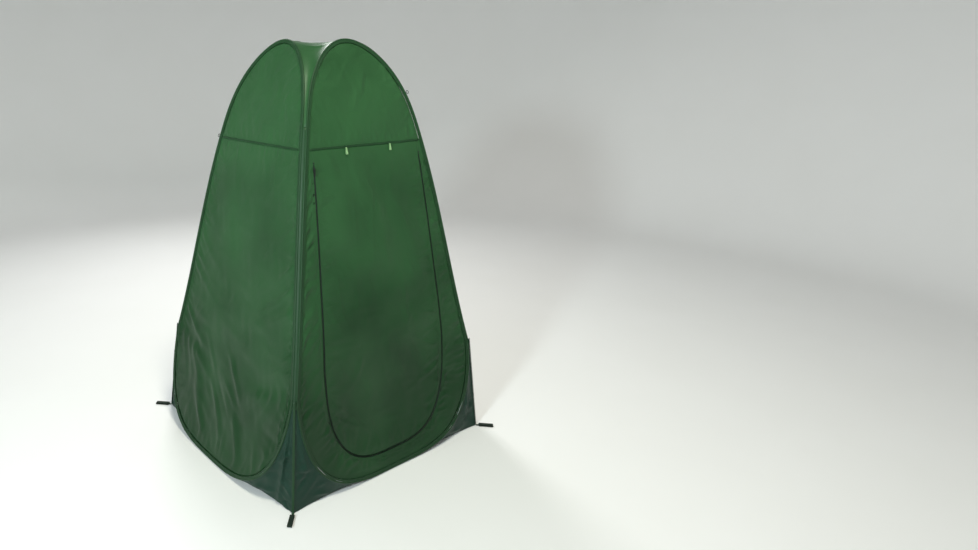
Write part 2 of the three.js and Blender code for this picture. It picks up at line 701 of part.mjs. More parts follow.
// Small cord ring at the outside edge of a sleeve, for a guy line.
function guyLoop(path, i) {
  const { position, inward, outward } = path[i];
  const reach = SLEEVE_BACK + GUY_RING_RADIUS + GUY_CORD_RADIUS + GUY_CLEAR;
  const along = outward.clone().cross(inward).normalize();
  const frame = new THREE.Matrix4().makeBasis(inward, along, inward.clone().cross(along));
  frame.setPosition(position.clone().addScaledVector(inward, -reach));
  return new THREE.TorusGeometry(GUY_RING_RADIUS, GUY_CORD_RADIUS, GUY_SIDES, GUY_STEPS).applyMatrix4(frame);
}

function roofCap() {
  const corners = [];
  for (const [sx, sy] of [[1, 1], [-1, 1], [-1, -1], [1, -1]]) {
    const near = [sx * CAP_HALF, sy * CAP_CORNER];
    const far = [sx * CAP_CORNER, sy * CAP_HALF];
    corners.push(...(sx * sy > 0 ? [near, far] : [far, near]));
  }
  return extrudeCentred(outlineShape(corners), FABRIC).translate(0, 0, CAP_HEIGHT);
}

// ---------- Build ----------

const tent = new THREE.Group();

const WALLS = [
  { name: 'front', bow: FRONT_BOW, turn: 0, material: panelCloth },
  { name: 'right', bow: SIDE_BOW, turn: Math.PI / 2, material: sideCloth },
  { name: 'back', bow: FRONT_BOW, turn: Math.PI, material: panelCloth },
  { name: 'left', bow: SIDE_BOW, turn: -Math.PI / 2, material: sideCloth },
];

for (const { name, bow, turn, material } of WALLS) {
  const wall = new THREE.Group();
  wall.rotation.z = turn;
  const path = hoopPath(bow);
  wall.add(mesh(`${name}_hoop_wire`, hoopWire(path), springSteel));
  wall.add(mesh(`${name}_hoop_sleeve`, hoopSleeve(path), bindingCloth));
  wall.add(mesh(`${name}_upper_panel`, upperPanel(bow, path), material));
  wall.add(mesh(`${name}_seam_tape`, seamTape(bow, path), webbing));
  if (name === 'front') {
    wall.add(mesh('door_surround', doorSurround(bow, path), material));
    wall.add(mesh('door_panel', doorPanel(bow), material));
    wall.add(mesh('zip_tape_surround', zipTape(path, ZIP_GAP, ZIP_TAPE), zipTapeCloth));
    wall.add(mesh('zip_tape_door', zipTape(path, -ZIP_GAP, -ZIP_TAPE), zipTapeCloth));
    wall.add(mesh('zip_stop_left', zipStop(-1), zipMetal));
    wall.add(mesh('zip_stop_right', zipStop(1), zipMetal));
    wall.add(mesh('door_tie_left', doorTie(-1), tieRibbon));
    wall.add(mesh('door_tie_right', doorTie(1), tieRibbon));
    wall.add(mesh('front_guy_loop', guyLoop(path, GUY_SAMPLE_FRONT), webbing));
  } else {
    wall.add(mesh(`${name}_lower_panel`, lowerPanel(bow, path), material));
  }
  if (name === 'left') {
    wall.add(mesh('left_guy_loop', guyLoop(path, path.length - SEAM_INDEX), webbing));
  }
  tent.add(wall);
}

const CORNERS = [
  { name: 'front_left', left: FRONT_BOW, right: SIDE_BOW, turn: 0 },
  { name: 'front_right', left: SIDE_BOW, right: FRONT_BOW, turn: Math.PI / 2 },
  { name: 'back_right', left: FRONT_BOW, right: SIDE_BOW, turn: Math.PI },
  { name: 'back_left', left: SIDE_BOW, right: FRONT_BOW, turn: -Math.PI / 2 },
];

for (const { name, left, right, turn } of CORNERS) {
  const corner = new THREE.Group();
  corner.rotation.z = turn;
  corner.add(mesh(`${name}_roof_gusset`, roofGusset(left, right), panelCloth));
  corner.add(mesh(`${name}_ground_gusset`, groundGusset(left, right), gussetCloth));
  corner.add(mesh(`${name}_gusset_binding`, gussetBinding(), webbing));
  corner.add(mesh(`${name}_corner_tape`, cornerSeamTape(), webbing));
  corner.add(mesh(`${name}_peg_loop`, pegLoop(), webbing));
  tent.add(corner);
}

const slider = new THREE.Group();
slider.applyMatrix4(sliderFrame());
slider.add(mesh('zip_slider', sliderBody(), zipMetal));
slider.add(mesh('zip_pull', zipPull(), zipMetal));
tent.add(slider);
tent.add(mesh('roof_cap', roofCap(), panelCloth));

export default tent;
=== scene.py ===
"""Builds a pop-up privacy tent of sprung hoops and coated cloth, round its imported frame."""

import math
import random

import bmesh
import bpy
import numpy as np
from bpy.props import FloatProperty, FloatVectorProperty, PointerProperty
from mathutils import Matrix, Vector


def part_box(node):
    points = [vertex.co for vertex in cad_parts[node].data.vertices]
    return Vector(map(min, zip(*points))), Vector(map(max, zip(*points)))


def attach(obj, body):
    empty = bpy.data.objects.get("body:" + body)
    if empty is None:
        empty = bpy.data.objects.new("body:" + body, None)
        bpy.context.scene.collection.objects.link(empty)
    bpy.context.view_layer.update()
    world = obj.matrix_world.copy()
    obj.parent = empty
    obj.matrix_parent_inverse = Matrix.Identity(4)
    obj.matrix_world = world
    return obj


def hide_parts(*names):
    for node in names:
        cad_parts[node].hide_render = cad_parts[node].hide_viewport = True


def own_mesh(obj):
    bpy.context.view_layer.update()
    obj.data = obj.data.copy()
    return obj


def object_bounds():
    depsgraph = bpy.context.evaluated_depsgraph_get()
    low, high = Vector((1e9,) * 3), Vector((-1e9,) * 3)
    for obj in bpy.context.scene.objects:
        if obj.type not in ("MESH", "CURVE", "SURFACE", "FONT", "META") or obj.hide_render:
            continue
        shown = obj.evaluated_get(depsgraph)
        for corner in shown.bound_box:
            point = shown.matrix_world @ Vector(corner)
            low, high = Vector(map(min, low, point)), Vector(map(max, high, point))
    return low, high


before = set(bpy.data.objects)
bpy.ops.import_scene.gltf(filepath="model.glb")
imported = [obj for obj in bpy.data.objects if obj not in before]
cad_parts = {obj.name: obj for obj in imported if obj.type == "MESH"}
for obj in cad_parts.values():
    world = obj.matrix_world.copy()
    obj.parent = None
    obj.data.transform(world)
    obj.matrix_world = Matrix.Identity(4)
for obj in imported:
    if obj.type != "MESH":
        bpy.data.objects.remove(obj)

bl_info = {
    "name": "Privacy Tent",
    "version": (1, 0, 0),
    "blender": (4, 5, 0),
    "location": "View3D > Sidebar > Tent",
    "description": "Builds the cloth, hoops, zip, ties and peg loops of a pop-up privacy tent",
    "category": "Mesh",
}

CAD_LOW, CAD_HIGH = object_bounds()

# ---------- Driving dimensions, in metres ----------

WALLS = ("front", "right", "back", "left")
CORNERS = ("front_left", "front_right", "back_right", "back_left")
TENT_HEIGHT = CAD_HIGH.z
WALL_HANDLES = (0.671, 0.447, 0.446, 0.213)  # half width of a wall, from the ground to the top
JOIN_LOW = 0.489  # neighbouring hoops part below this height
JOIN_HIGH = 1.528  # and above this one
TOP_SETBACK = 0.030
BOW_FULL_HEIGHT = 0.147
BOW_END_HEIGHT = 0.782
BOWS = {"front": -0.070, "right": 0.0, "back": -0.070, "left": 0.0}
HOOP_INSET = 0.014
HOOP_FOOT = 0.007
HOOP_TOP = TENT_HEIGHT - 0.007
UPPER_POWER = 0.614  # roundness of a hoop above the join
LOWER_SHARE_POWER = 0.641  # and below it, across
LOWER_DROP_POWER = 1.497  # and down
PEG_CORNER = 0.582
GUSSET_LOWEST_ANGLE = math.radians(80)  # where the ground gusset's hem meets the hoop
GUSSET_HEM = 0.003

SEAM_HEIGHT = (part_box("front_seam_tape")[0].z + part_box("front_seam_tape")[1].z) / 2
ZIP_HALF_TOP = 0.295
ZIP_HALF_LOW = 0.358
ZIP_TURN = 0.560
ZIP_FOOT = 0.088
ZIP_TOP = 1.405
ZIP_ROUND = 3  # power of the door's round bottom
ZIP_TAPE_DEPTH = 0.0034  # the tapes lie behind the cloth, which leaves only a slot over the coil
COIL_PITCH = 0.004
COIL_BASE = -0.0016
TUNNEL_PUCKER = 0.0006
GUY_CORD_RADIUS = 0.0013
CORD_SIDES = 12
CORD_STRANDS = 3
CORD_TWISTS = 14  # turns of the strands round one loop
TIE_OFFSET = 0.124
PEG_LOOP = {"start": 0.015, "length": 0.074, "height": 0.010, "width": 0.020}


def linear(hex_colour):
    """A linear RGB triple from an sRGB hex string."""
    parts = [int(hex_colour[i:i + 2], 16) / 255 for i in (1, 3, 5)]
    return tuple(c / 12.92 if c <= 0.04045 else ((c + 0.055) / 1.055) ** 2.4 for c in parts)


def size_property(name, description, default):
    return FloatProperty(name=name, description=description, default=default, unit="LENGTH", precision=4)


def colour_property(name, description, default):
    return FloatVectorProperty(
        name=name, description=description, default=linear(default), subtype="COLOR", min=0, max=1)


class TentSizes(bpy.types.PropertyGroup):
    cloth: size_property("Cloth", "Thickness of the coated cloth", 0.0007)
    tube: size_property("Hoop tunnel", "Radius of the round tunnel over the hoop wire", 0.0042)
    tongue: size_property("Hoop band", "Width of the flat band between the tunnel and the panel", 0.014)
    fold: size_property("Fold depth", "Height of the broad soft folds", 0.0200)
    crease: size_property("Crease depth", "Height of the short creases by the seams", 0.0085)
    slack: size_property("Slack", "Height of the cloth's wide, low swells", 0.0024)
    roof_sag: size_property("Roof sag", "How far the roof cloth dips between two hoops", 0.014)


class TentColours(bpy.types.PropertyGroup):
    cloth: colour_property("Cloth", "Outside of the tent cloth", "#2e5833")
    # The deep colour gives random tone patches and also painted shade: the cloth is mixed towards it lower
    # down.
    cloth_deep: colour_property("Cloth, deep", "Deeper tone in the tent cloth", "#14361a")
    inside: colour_property("Inside", "Coated inside of the cloth", "#1a2e1a")
    gusset: colour_property("Gusset", "Cloth of the ground gussets", "#163a2c")
    binding: colour_property("Binding", "Hoop tunnels and seam bindings", "#224428")
    webbing: colour_property("Webbing", "Peg loops", "#26332a")
    zip_tape: colour_property("Zip tape", "Woven tape of the zip", "#17251b")
    ribbon: colour_property("Ribbon", "Door ties", "#9cc88e")


def sizes():
    return bpy.context.scene.tent_sizes


def colours():
    return bpy.context.scene.tent_colours


# ---------- Shape of the tent ----------


def smooth_step(value, low, high):
    share = np.clip((value - low) / (high - low), 0, 1)
    return share * share * (3 - 2 * share)


def corner_half(z):
    """Half the width of a wall at a height."""
    t = z / TENT_HEIGHT
    a, b, c, d = WALL_HANDLES
    return (1 - t) ** 3 * a + 3 * (1 - t) ** 2 * t * b + 3 * (1 - t) * t * t * c + t ** 3 * d


def wall_depth(bow, x, z):
    half = corner_half(z)
    across = 1 - np.minimum(1, (x / half) ** 2)
    foot = 1 - smooth_step(z, BOW_FULL_HEIGHT, BOW_END_HEIGHT)
    rise = np.maximum(0, (z - JOIN_HIGH) / (HOOP_TOP - JOIN_HIGH))
    return half + bow * across * foot - TOP_SETBACK * rise * rise


def turned(points, quarter_turns):
    """Points turned about the tent's middle by quarter turns."""
    x, y, z = points[..., 0], points[..., 1], points[..., 2]
    for _ in range(quarter_turns % 4):
        x, y = -y, x
    return np.stack([x, y, z], axis=-1)


def on_wall(wall, x, z):
    local = np.stack([x, -wall_depth(BOWS[wall], x, z), z], axis=-1)
    return turned(local, WALLS.index(wall))


def wall_normal(wall, x, z):
    step = 0.002
    across = on_wall(wall, x + step, z) - on_wall(wall, x - step, z)
    up = on_wall(wall, x, z + step) - on_wall(wall, x, z - step)
    return unit(np.cross(across, up))


def off_wall(wall, x, z, height):
    """Points that stand a height off a wall."""
    return on_wall(wall, x, z) + wall_normal(wall, x, z) * np.asarray(height)[..., None]


def unit(vectors):
    return vectors / np.linalg.norm(vectors, axis=-1, keepdims=True)


def upper_outline(angle):
    """(share of the half width, height) of a hoop above the join, from 0 at the join to a quarter turn."""
    return np.cos(angle), JOIN_HIGH + (HOOP_TOP - JOIN_HIGH) * np.sin(angle) ** UPPER_POWER


def lower_outline(angle):
    share = np.cos(angle) ** LOWER_SHARE_POWER
    return share, JOIN_LOW - (JOIN_LOW - HOOP_FOOT) * np.sin(angle) ** LOWER_DROP_POWER


def hoop_line(wall, count):
    """Evenly spaced points of a hoop's wire, from its top down the right side and round."""
    quarter = np.linspace(math.pi / 2, 0, 160)
    up_share, up_z = upper_outline(quarter)
    low_share, low_z = lower_outline(quarter[::-1])
    straight_z = np.linspace(JOIN_HIGH, JOIN_LOW, 60)[1:-1]
    share = np.concatenate([up_share, np.ones(len(straight_z)), low_share])
    z = np.concatenate([up_z, straight_z, low_z])
    x = (corner_half(z) - HOOP_INSET) * share
    x, z = np.concatenate([x, -x[-2:0:-1]]), np.concatenate([z, z[-2:0:-1]])
    x, z = resampled(np.append(x, x[0]), np.append(z, z[0]), count + 1)
    return x[:-1], z[:-1]


def resampled(x, z, count):
    """A flat line's points, spaced evenly along it."""
    along = np.concatenate([[0], np.cumsum(np.hypot(np.diff(x), np.diff(z)))])
    wanted = np.linspace(0, along[-1], count)
    return np.interp(wanted, along, x), np.interp(wanted, along, z)


def hoop_frames(wall, count):
    """Places on a hoop's wire, with the directions into the panel and out of the tent."""
    x, z = hoop_line(wall, count)
    place = on_wall(wall, x, z)
    along = unit(np.roll(place, -1, axis=0) - np.roll(place, 1, axis=0))
    outward = wall_normal(wall, x, z)
    inward = unit(np.cross(outward, along)) * -1
    middle = on_wall(wall, np.zeros(1), np.full(1, 1.0))
    if np.mean(np.einsum("ij,ij->i", middle - place, inward)) < 0:
        inward = -inward
    return place, inward, outward


# ---------- Cloth folds ----------


class Folds:
    """Creases and soft folds on a wall, each a tapering ridge along a short line in (x, z)."""

    def __init__(self, seed):
        self.random = random.Random(seed)
        self.lines = []

    def add(self, x, z, length, degrees, width, height, bend=0.0, anchored=False):
        angle = math.radians(degrees)
        self.lines.append((x, z, length, math.cos(angle), math.sin(angle), width, height, bend, anchored))

    def between(self, low, high):
        return self.random.uniform(low, high)

    def scattered(self, count, x, z, length, degrees, width, height):
        """Creases at random in a box, each value between the two given."""
        for _ in range(count):
            self.add(self.between(*x), self.between(*z), self.between(*length), self.between(*degrees),
                     self.between(*width), self.between(*height) * self.random.choice((1, 1, -0.8)),
                     self.between(-0.012, 0.012))

    def along(self, line, spacing, length, degrees, width, height):
        """Creases that start at a line's points, a spacing apart, and run off it at an angle."""
        place = self.between(*spacing)
        x, z = line
        run = np.concatenate([[0], np.cumsum(np.hypot(np.diff(x), np.diff(z)))])
        while place < run[-1]:
            self.add(float(np.interp(place, run, x)), float(np.interp(place, run, z)),
                     self.between(*length), self.between(*degrees), self.between(*width),
                     self.between(*height) * self.random.choice((1, 1, -0.7)),
                     self.between(-0.01, 0.01), True)
            place += self.between(*spacing)

    def height(self, x, z):
        total = np.zeros_like(x)
        for x0, z0, length, cos, sin, width, height, bend, anchored in self.lines:
            dx, dz = x - x0, z - z0
            t = (dx * cos + dz * sin) / length
            inside = (t > 0) & (t < 1)
            if not inside.any():
                continue
            ti = t[inside]
            swell = 1 + 0.5 * ti if anchored else 1
            across = (dz[inside] * cos - dx[inside] * sin - bend * 4 * ti * (1 - ti)) / (width * swell)
            if anchored:
                taper = smooth_step(ti, 0, 0.12) * (1 - ti) ** 1.3
            else:
                taper = np.sin(np.pi * ti)
            ridge = np.exp(-np.abs(across) ** 1.5) - 0.4 * np.exp(-(across / 2.3) ** 2)
            total[inside] += height * taper * ridge
        return total


def swell(x, z, seed, wavelength, lean, count=10):
    """A wide, low unevenness, drawn out along a lean, between about -1 and 1."""
    rng = random.Random(seed)
    total = np.zeros_like(x)
    warp = 0.35 * wavelength * np.sin(2 * math.pi * (x * 0.7 + z) / (wavelength * 2.7) + rng.uniform(0, 6))
    for _ in range(count):
        angle = math.radians(lean + 90 + rng.gauss(0, 24))
        rate = 2 * math.pi / (wavelength * rng.uniform(0.7, 1.6))
        phase = rng.uniform(0, 2 * math.pi)
        total += np.sin(rate * ((x + warp) * math.cos(angle) + (z - warp) * math.sin(angle)) + phase)
    return total / math.sqrt(count)


def hoop_side(side, low, high, inset=0.018, count=60):
    """A side of a hoop between two heights of its straight or round part, as a line in (x, z)."""
    x, z = hoop_line("left", 900)
    half = (x * side >= 0) & (z >= low) & (z <= high)
    order = np.argsort(z[half])
    return x[half][order] - side * inset, z[half][order]


def hoop_bottom(inset=0.018):
    x, z = hoop_line("left", 900)
    low = z < 0.30
    order = np.argsort(x[low])
    return x[low][order], z[low][order] + inset


def seam_line(offset, half):
    x = np.linspace(-half, half, 40)
    return x, np.full(40, SEAM_HEIGHT + offset)


def lower_wall_folds(wall):
    """Folds of a plain wall below the seam: broad ones from the corners, short ones by the hoop."""
    s = sizes()
    folds = Folds(wall + " lower")
    broad, short = s.fold, s.crease
    for side in (-1, 1):
        lean = -90 - side * 58
        for i in range(5):
            folds.add(side * (0.50 - 0.05 * i), 0.52 - 0.02 * i, folds.between(0.26, 0.42),
                      -90 - side * (8 + 13 * i + folds.between(-4, 4)), folds.between(0.020, 0.034),
                      broad * folds.between(0.6, 1.0), side * 0.02, True)
        for i, z in enumerate((0.64, 0.84, 0.93, 1.02, 1.16)):
            strength = (0.6, 0.9, 1.0, 0.8, 0.35)[i] if side > 0 else (0.8, 0.6, 0.35, 0.3, 0.25)[i]
            folds.add(side * (float(corner_half(z)) - 0.03), z + folds.between(-0.02, 0.02),
                      folds.between(0.30, 0.48), lean + folds.between(-7, 7), folds.between(0.016, 0.028),
                      broad * strength, side * 0.02, True)
        inward = 180 if side > 0 else 0
        folds.along(hoop_side(side, 0.50, 1.43), (0.020, 0.055), (0.05, 0.15),
                    (inward + side * 10, inward + side * 45), (0.006, 0.011), (0.5 * short, 1.1 * short))
        folds.along(hoop_side(side, 0.12, 0.50), (0.018, 0.045), (0.06, 0.18),
                    (inward - side * 40, inward - side * 5), (0.007, 0.013), (0.6 * short, 1.2 * short))
    folds.along(hoop_bottom(), (0.020, 0.045), (0.07, 0.24), (55, 125), (0.008, 0.015),
                (0.5 * short, 1.2 * short))
    folds.along(seam_line(-0.012, 0.30), (0.018, 0.05), (0.04, 0.12), (-110, -70), (0.006, 0.010),
                (0.3 * short, 0.6 * short))
    folds.scattered(70, (-0.42, 0.34), (0.55, 1.32), (0.06, 0.20), (28, 52), (0.006, 0.011),
                    (0.12 * short, 0.4 * short))
    folds.scattered(16, (-0.45, 0.10), (0.20, 0.60), (0.15, 0.36), (-60, -30), (0.014, 0.028),
                    (0.5 * short, 1.2 * short))
    return folds


def upper_wall_folds(wall):
    s = sizes()
    folds = Folds(wall + " upper")
    short = s.crease
    x, z = hoop_line("left", 900)
    for side in (-1, 1):
        arch = (x * side > 0.02) & (z > SEAM_HEIGHT + 0.03)
        order = np.argsort(z[arch])
        inward = 180 if side > 0 else 0
        folds.along((x[arch][order] - side * 0.016, z[arch][order] - 0.006), (0.022, 0.055), (0.04, 0.13),
                    (inward + side * 5, inward + side * 50), (0.006, 0.011), (0.3 * short, 0.7 * short))
    folds.along(seam_line(0.012, 0.30), (0.020, 0.05), (0.04, 0.13), (65, 115), (0.007, 0.011),
                (0.25 * short, 0.6 * short))
    folds.scattered(12, (-0.22, 0.18), (1.52, 1.78), (0.08, 0.20), (25, 75), (0.010, 0.018),
                    (0.15 * short, 0.35 * short))
    return folds


def surround_folds():
    """Folds of the narrow cloth round the door: short and close, rising away from the corner seam."""
    s = sizes()
    folds = Folds("surround")
    short = s.crease
    folds.along(hoop_side(-1, 0.30, 1.40), (0.010, 0.024), (0.05, 0.16), (12, 52), (0.006, 0.011),
                (0.7 * short, 1.5 * short))
    folds.along(hoop_side(1, 0.30, 1.40), (0.010, 0.026), (0.05, 0.15), (172, 206), (0.006, 0.011),
                (0.6 * short, 1.3 * short))
    zip_x, zip_z = zip_line(0.016, 400)
    left = (zip_x < -0.2) & (zip_z < 1.38)
    right = (zip_x > 0.2) & (zip_z < 1.38)
    folds.along((zip_x[left], zip_z[left]), (0.012, 0.030), (0.05, 0.14), (188, 232), (0.006, 0.010),
                (0.5 * short, 1.2 * short))
    folds.along((zip_x[right], zip_z[right]), (0.014, 0.030), (0.04, 0.12), (-20, 24), (0.006, 0.010),
                (0.5 * short, 1.1 * short))
    bottom = zip_z < 0.40
    folds.along((zip_x[bottom], zip_z[bottom]), (0.014, 0.032), (0.04, 0.10), (240, 300), (0.006, 0.010),
                (0.5 * short, 1.1 * short))
    return folds


def door_folds():
    s = sizes()
    folds = Folds("door")
    broad, short = s.fold, s.crease
    zip_x, zip_z = zip_line(-0.014, 400)
    left = (zip_x < -0.2) & (zip_z < 1.42)
    right = (zip_x > 0.2) & (zip_z < 1.42)
    folds.along((zip_x[left], zip_z[left]), (0.022, 0.055), (0.05, 0.17), (-40, 20), (0.006, 0.011),
                (0.3 * short, 0.8 * short))
    folds.along((zip_x[right], zip_z[right]), (0.020, 0.050), (0.06, 0.20), (150, 215), (0.006, 0.011),
                (0.35 * short, 0.85 * short))
    bottom = zip_z < 0.36
    folds.along((zip_x[bottom], zip_z[bottom]), (0.022, 0.05), (0.06, 0.18), (50, 130), (0.007, 0.012),
                (0.3 * short, 0.8 * short))
    folds.add(-0.335, 0.40, 0.30, -44, 0.012, 0.8 * broad, 0.01, True)
    folds.add(-0.33, 0.34, 0.34, -30, 0.011, 0.7 * broad, -0.01, True)
    folds.add(0.33, 0.42, 0.26, 205, 0.012, 0.5 * broad, 0.01, True)
    folds.add(0.33, 0.50, 0.30, 150, 0.014, 0.45 * broad, 0.01, True)
    folds.scattered(26, (-0.25, 0.25), (0.20, 1.30), (0.10, 0.26), (55, 125), (0.010, 0.020),
                    (0.12 * short, 0.35 * short))
    return folds


def zip_gap(z):
    """Half the slot that the cloth leaves over the coil: none above the zip's top stops."""
    return 0.0003 + 0.0033 * (1 - smooth_step(z, ZIP_TOP - 0.012, ZIP_TOP + 0.004))


def zip_line(offset, count):
    """The zip's U, moved out by an offset, from the left leg's top round to the right one's."""
    seam = SEAM_HEIGHT - 0.0015
    leg_z = np.linspace(seam, ZIP_TURN, 60)
    leg_x = ZIP_HALF_TOP + (ZIP_HALF_LOW - ZIP_HALF_TOP) * (seam - leg_z) / (seam - ZIP_TURN)
    angle = np.linspace(0, math.pi / 2, 120)[1:]
    turn_x = ZIP_HALF_LOW * np.cos(angle).clip(0) ** (2 / ZIP_ROUND)
    turn_z = ZIP_TURN - (ZIP_TURN - ZIP_FOOT) * np.sin(angle) ** (2 / ZIP_ROUND)
    x, z = np.concatenate([leg_x, turn_x]), np.concatenate([leg_z, turn_z])
    x, z = np.concatenate([-x, x[-2::-1]]), np.concatenate([z, z[-2::-1]])
    x, z = resampled(x, z, count)
    dx, dz = np.gradient(x), np.gradient(z)
    size = np.hypot(dx, dz)
    return x + offset * dz / size, z - offset * dx / size


# ---------- Mesh makers ----------


def new_piece(name, bm, materials, body, smooth=True):
    """A finished mesh object from a bmesh, on a CAD body."""
    mesh = bpy.data.meshes.new(name)
    bm.to_mesh(mesh)
    bm.free()
    piece = bpy.data.objects.new(name, mesh)
    bpy.context.scene.collection.objects.link(piece)
    for material in materials:
        mesh.materials.append(material)
    if smooth:
        mesh.shade_smooth()
    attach(piece, body)
    return piece


def moved(bm, place):
    """Every point of a bmesh moved to where place puts its first two coordinates."""
    flat = np.array([v.co[:2] for v in bm.verts])
    for vert, target in zip(bm.verts, place(flat[:, 0], flat[:, 1])):
        vert.co = target


def grid(columns, rows, place):
    """A bmesh grid whose (u, v), from 0 to 1, place puts in space. Its UV map keeps (u, v)."""
    bm = bmesh.new()
    bm.loops.layers.uv.new("Sheet")
    bmesh.ops.create_grid(bm, x_segments=columns, y_segments=rows, size=0.5,
                          matrix=Matrix.Translation((0.5, 0.5, 0)), calc_uvs=True)
    moved(bm, place)
    return bm


def facing(bm, direction_at):
    """Turns a sheet's faces so that they look out of the tent."""
    bm.faces.ensure_lookup_table()
    bm.normal_update()
    middle = bm.faces[len(bm.faces) // 2]
    if middle.normal.dot(direction_at(middle.calc_center_median())) < 0:
        bmesh.ops.reverse_faces(bm, faces=bm.faces)
    bm.normal_update()
    return bm


def outwards(point):
    return Vector((point.x, point.y, 0.6 * (point.z - 1)))


def thickened(piece, thickness, offset=-1.0, inside=False):
    """A live Solidify, with the inside in the piece's second material if it has one."""
    modifier = piece.modifiers.new("Thickness", "SOLIDIFY")
    modifier.thickness = thickness
    modifier.offset = offset
    modifier.use_even_offset = False
    if inside:
        modifier.material_offset = 1
        modifier.material_offset_rim = 0
    return piece


def cloth_sheet(piece):
    """Gives a piece back as it is."""
    return piece


def swept(frames, section, closed=True):
    """A tube of a closed section of (in, out) pairs along (place, inward, outward) rows."""
    place, inward, outward = frames
    section = np.asarray(section)
    count, sides = len(place), section.shape[-2]
    bm = bmesh.new()
    if closed:
        upright = Matrix.Translation((1, 0, 0)) @ Matrix.Rotation(math.pi / 2, 4, "X")
        ring = bmesh.ops.create_circle(bm, segments=sides, radius=0.1, matrix=upright)
        bmesh.ops.spin(bm, geom=ring["verts"] + list({e for v in ring["verts"] for e in v.link_edges}),
                       cent=(0, 0, 0), axis=(0, 0, 1), angle=2 * math.pi, steps=count, use_merge=True)
    else:
        bmesh.ops.create_cone(bm, cap_ends=True, cap_tris=False, segments=sides,
                              radius1=0.1, radius2=0.1, depth=1)
        sides_only = [e for e in bm.edges if abs(e.verts[0].co.z - e.verts[1].co.z) > 0.5]
        bmesh.ops.subdivide_edges(bm, edges=sides_only, cuts=count - 2, use_grid_fill=True)
    points = np.array([v.co for v in bm.verts])
    if closed:
        around = np.arctan2(points[:, 1], points[:, 0]) / (2 * math.pi)
        row = np.round(around * count).astype(int) % count
        turn = np.arctan2(points[:, 2], np.hypot(points[:, 0], points[:, 1]) - 1) / (2 * math.pi)
    else:
        row = np.round((points[:, 2] + 0.5) * (count - 1)).astype(int)
        turn = np.arctan2(points[:, 1], points[:, 0]) / (2 * math.pi)
    side = np.round(turn * sides).astype(int) % sides
    offsets = section[side] if section.ndim == 2 else section[row, side]
    target = place[row] + inward[row] * offsets[:, :1] + outward[row] * offsets[:, 1:]
    for vert, co in zip(bm.verts, target):
        vert.co = co
    bmesh.ops.recalc_face_normals(bm, faces=bm.faces)
    return bm


def band(line, widths, heights, columns_per_metre, wall):
    """A grid along a flat line on a wall: rows stand off by widths across it and heights out of it."""
    x, z = line
    dx, dz = np.gradient(x), np.gradient(z)
    size = np.hypot(dx, dz)
    nx, nz = dz / size, -dx / size
    length = float(np.sum(np.hypot(np.diff(x), np.diff(z))))
    columns = max(4, int(length * columns_per_metre))
    share = np.linspace(0, 1, len(x))

    def place(u, v):
        px, pz = np.interp(u, share, x), np.interp(u, share, z)
        qx, qz = np.interp(u, share, nx), np.interp(u, share, nz)
        step = np.linspace(0, 1, len(widths))
        across = np.interp(v, step, widths)
        height = np.interp(v, step, heights)
        return off_wall(wall, px + qx * across, pz + qz * across, height)

    return facing(grid(columns, len(widths) - 1, place), outwards), length


# ---------- Materials ----------


def node(tree, kind, links=(), **settings):
    """Adds a node. Settings are its properties, or its inputs by name; links are (input, output) pairs."""
    made = tree.nodes.new(kind)
    for name, value in settings.items():
        if hasattr(made, name):
            setattr(made, name, value)
        else:
            made.inputs[name.replace("_", " ")].default_value = value
    for name, output in links:
        tree.links.new(made.inputs[name], output)
    return made


def new_material(name, colour, roughness, **sockets):
    """A Principled material with its constant values set on the shader itself."""
    material = bpy.data.materials.new(name)
    material.use_nodes = True
    shader = material.node_tree.nodes["Principled BSDF"]
    shader.inputs["Base Color"].default_value = (*colour, 1)
    shader.inputs["Roughness"].default_value = roughness
    for socket, value in sockets.items():
        shader.inputs[socket.replace("_", " ")].default_value = value
    return material, material.node_tree, shader


# A mix node's colour sockets, by number, because its sockets of other kinds have the same names.
MIX_FIRST, MIX_SECOND, MIX_RESULT = 6, 7, 2


def mixed(tree, factor, first, second):
    """A colour mixed from two by a factor output."""
    made = node(tree, "ShaderNodeMix", data_type="RGBA", links=[])
    made.inputs[MIX_FIRST].default_value = (*first, 1)
    made.inputs[MIX_SECOND].default_value = (*second, 1)
    tree.links.new(made.inputs[0], factor)
    return made.outputs[MIX_RESULT]


def ranged(tree, output, from_low, from_high, to_low, to_high):
    made = node(tree, "ShaderNodeMapRange", links=[("Value", output)])
    limits = {"From Min": from_low, "From Max": from_high, "To Min": to_low, "To Max": to_high}
    for name, value in limits.items():
        made.inputs[name].default_value = value
    return made.outputs["Result"]


def woven_bump(tree, shader, coordinates, thread, depth, crumple_scale, crumple_depth):
    """Plain-weave threads over a fine crumple, as a bump."""
    warp = node(tree, "ShaderNodeTexWave", bands_direction="X", Scale=1 / (thread * 2 * math.pi) * math.pi,
                links=[("Vector", coordinates)])
    weft = node(tree, "ShaderNodeTexWave", bands_direction="Z", Scale=1 / (thread * 2 * math.pi) * math.pi,
                links=[("Vector", coordinates)])
    threads = node(tree, "ShaderNodeMath", operation="MULTIPLY",
                   links=[(0, warp.outputs["Fac"]), (1, weft.outputs["Fac"])])
    weave = node(tree, "ShaderNodeBump", Strength=0.35, Distance=depth,
                 links=[("Height", threads.outputs[0])])
    crumple = node(tree, "ShaderNodeTexNoise", Scale=crumple_scale, Detail=5.0, Roughness=0.55,
                   Distortion=0.6, links=[("Vector", coordinates)])
    bump = node(tree, "ShaderNodeBump", Strength=0.8, Distance=crumple_depth,
                links=[("Height", crumple.outputs["Fac"]), ("Normal", weave.outputs["Normal"])])
    tree.links.new(shader.inputs["Normal"], bump.outputs["Normal"])


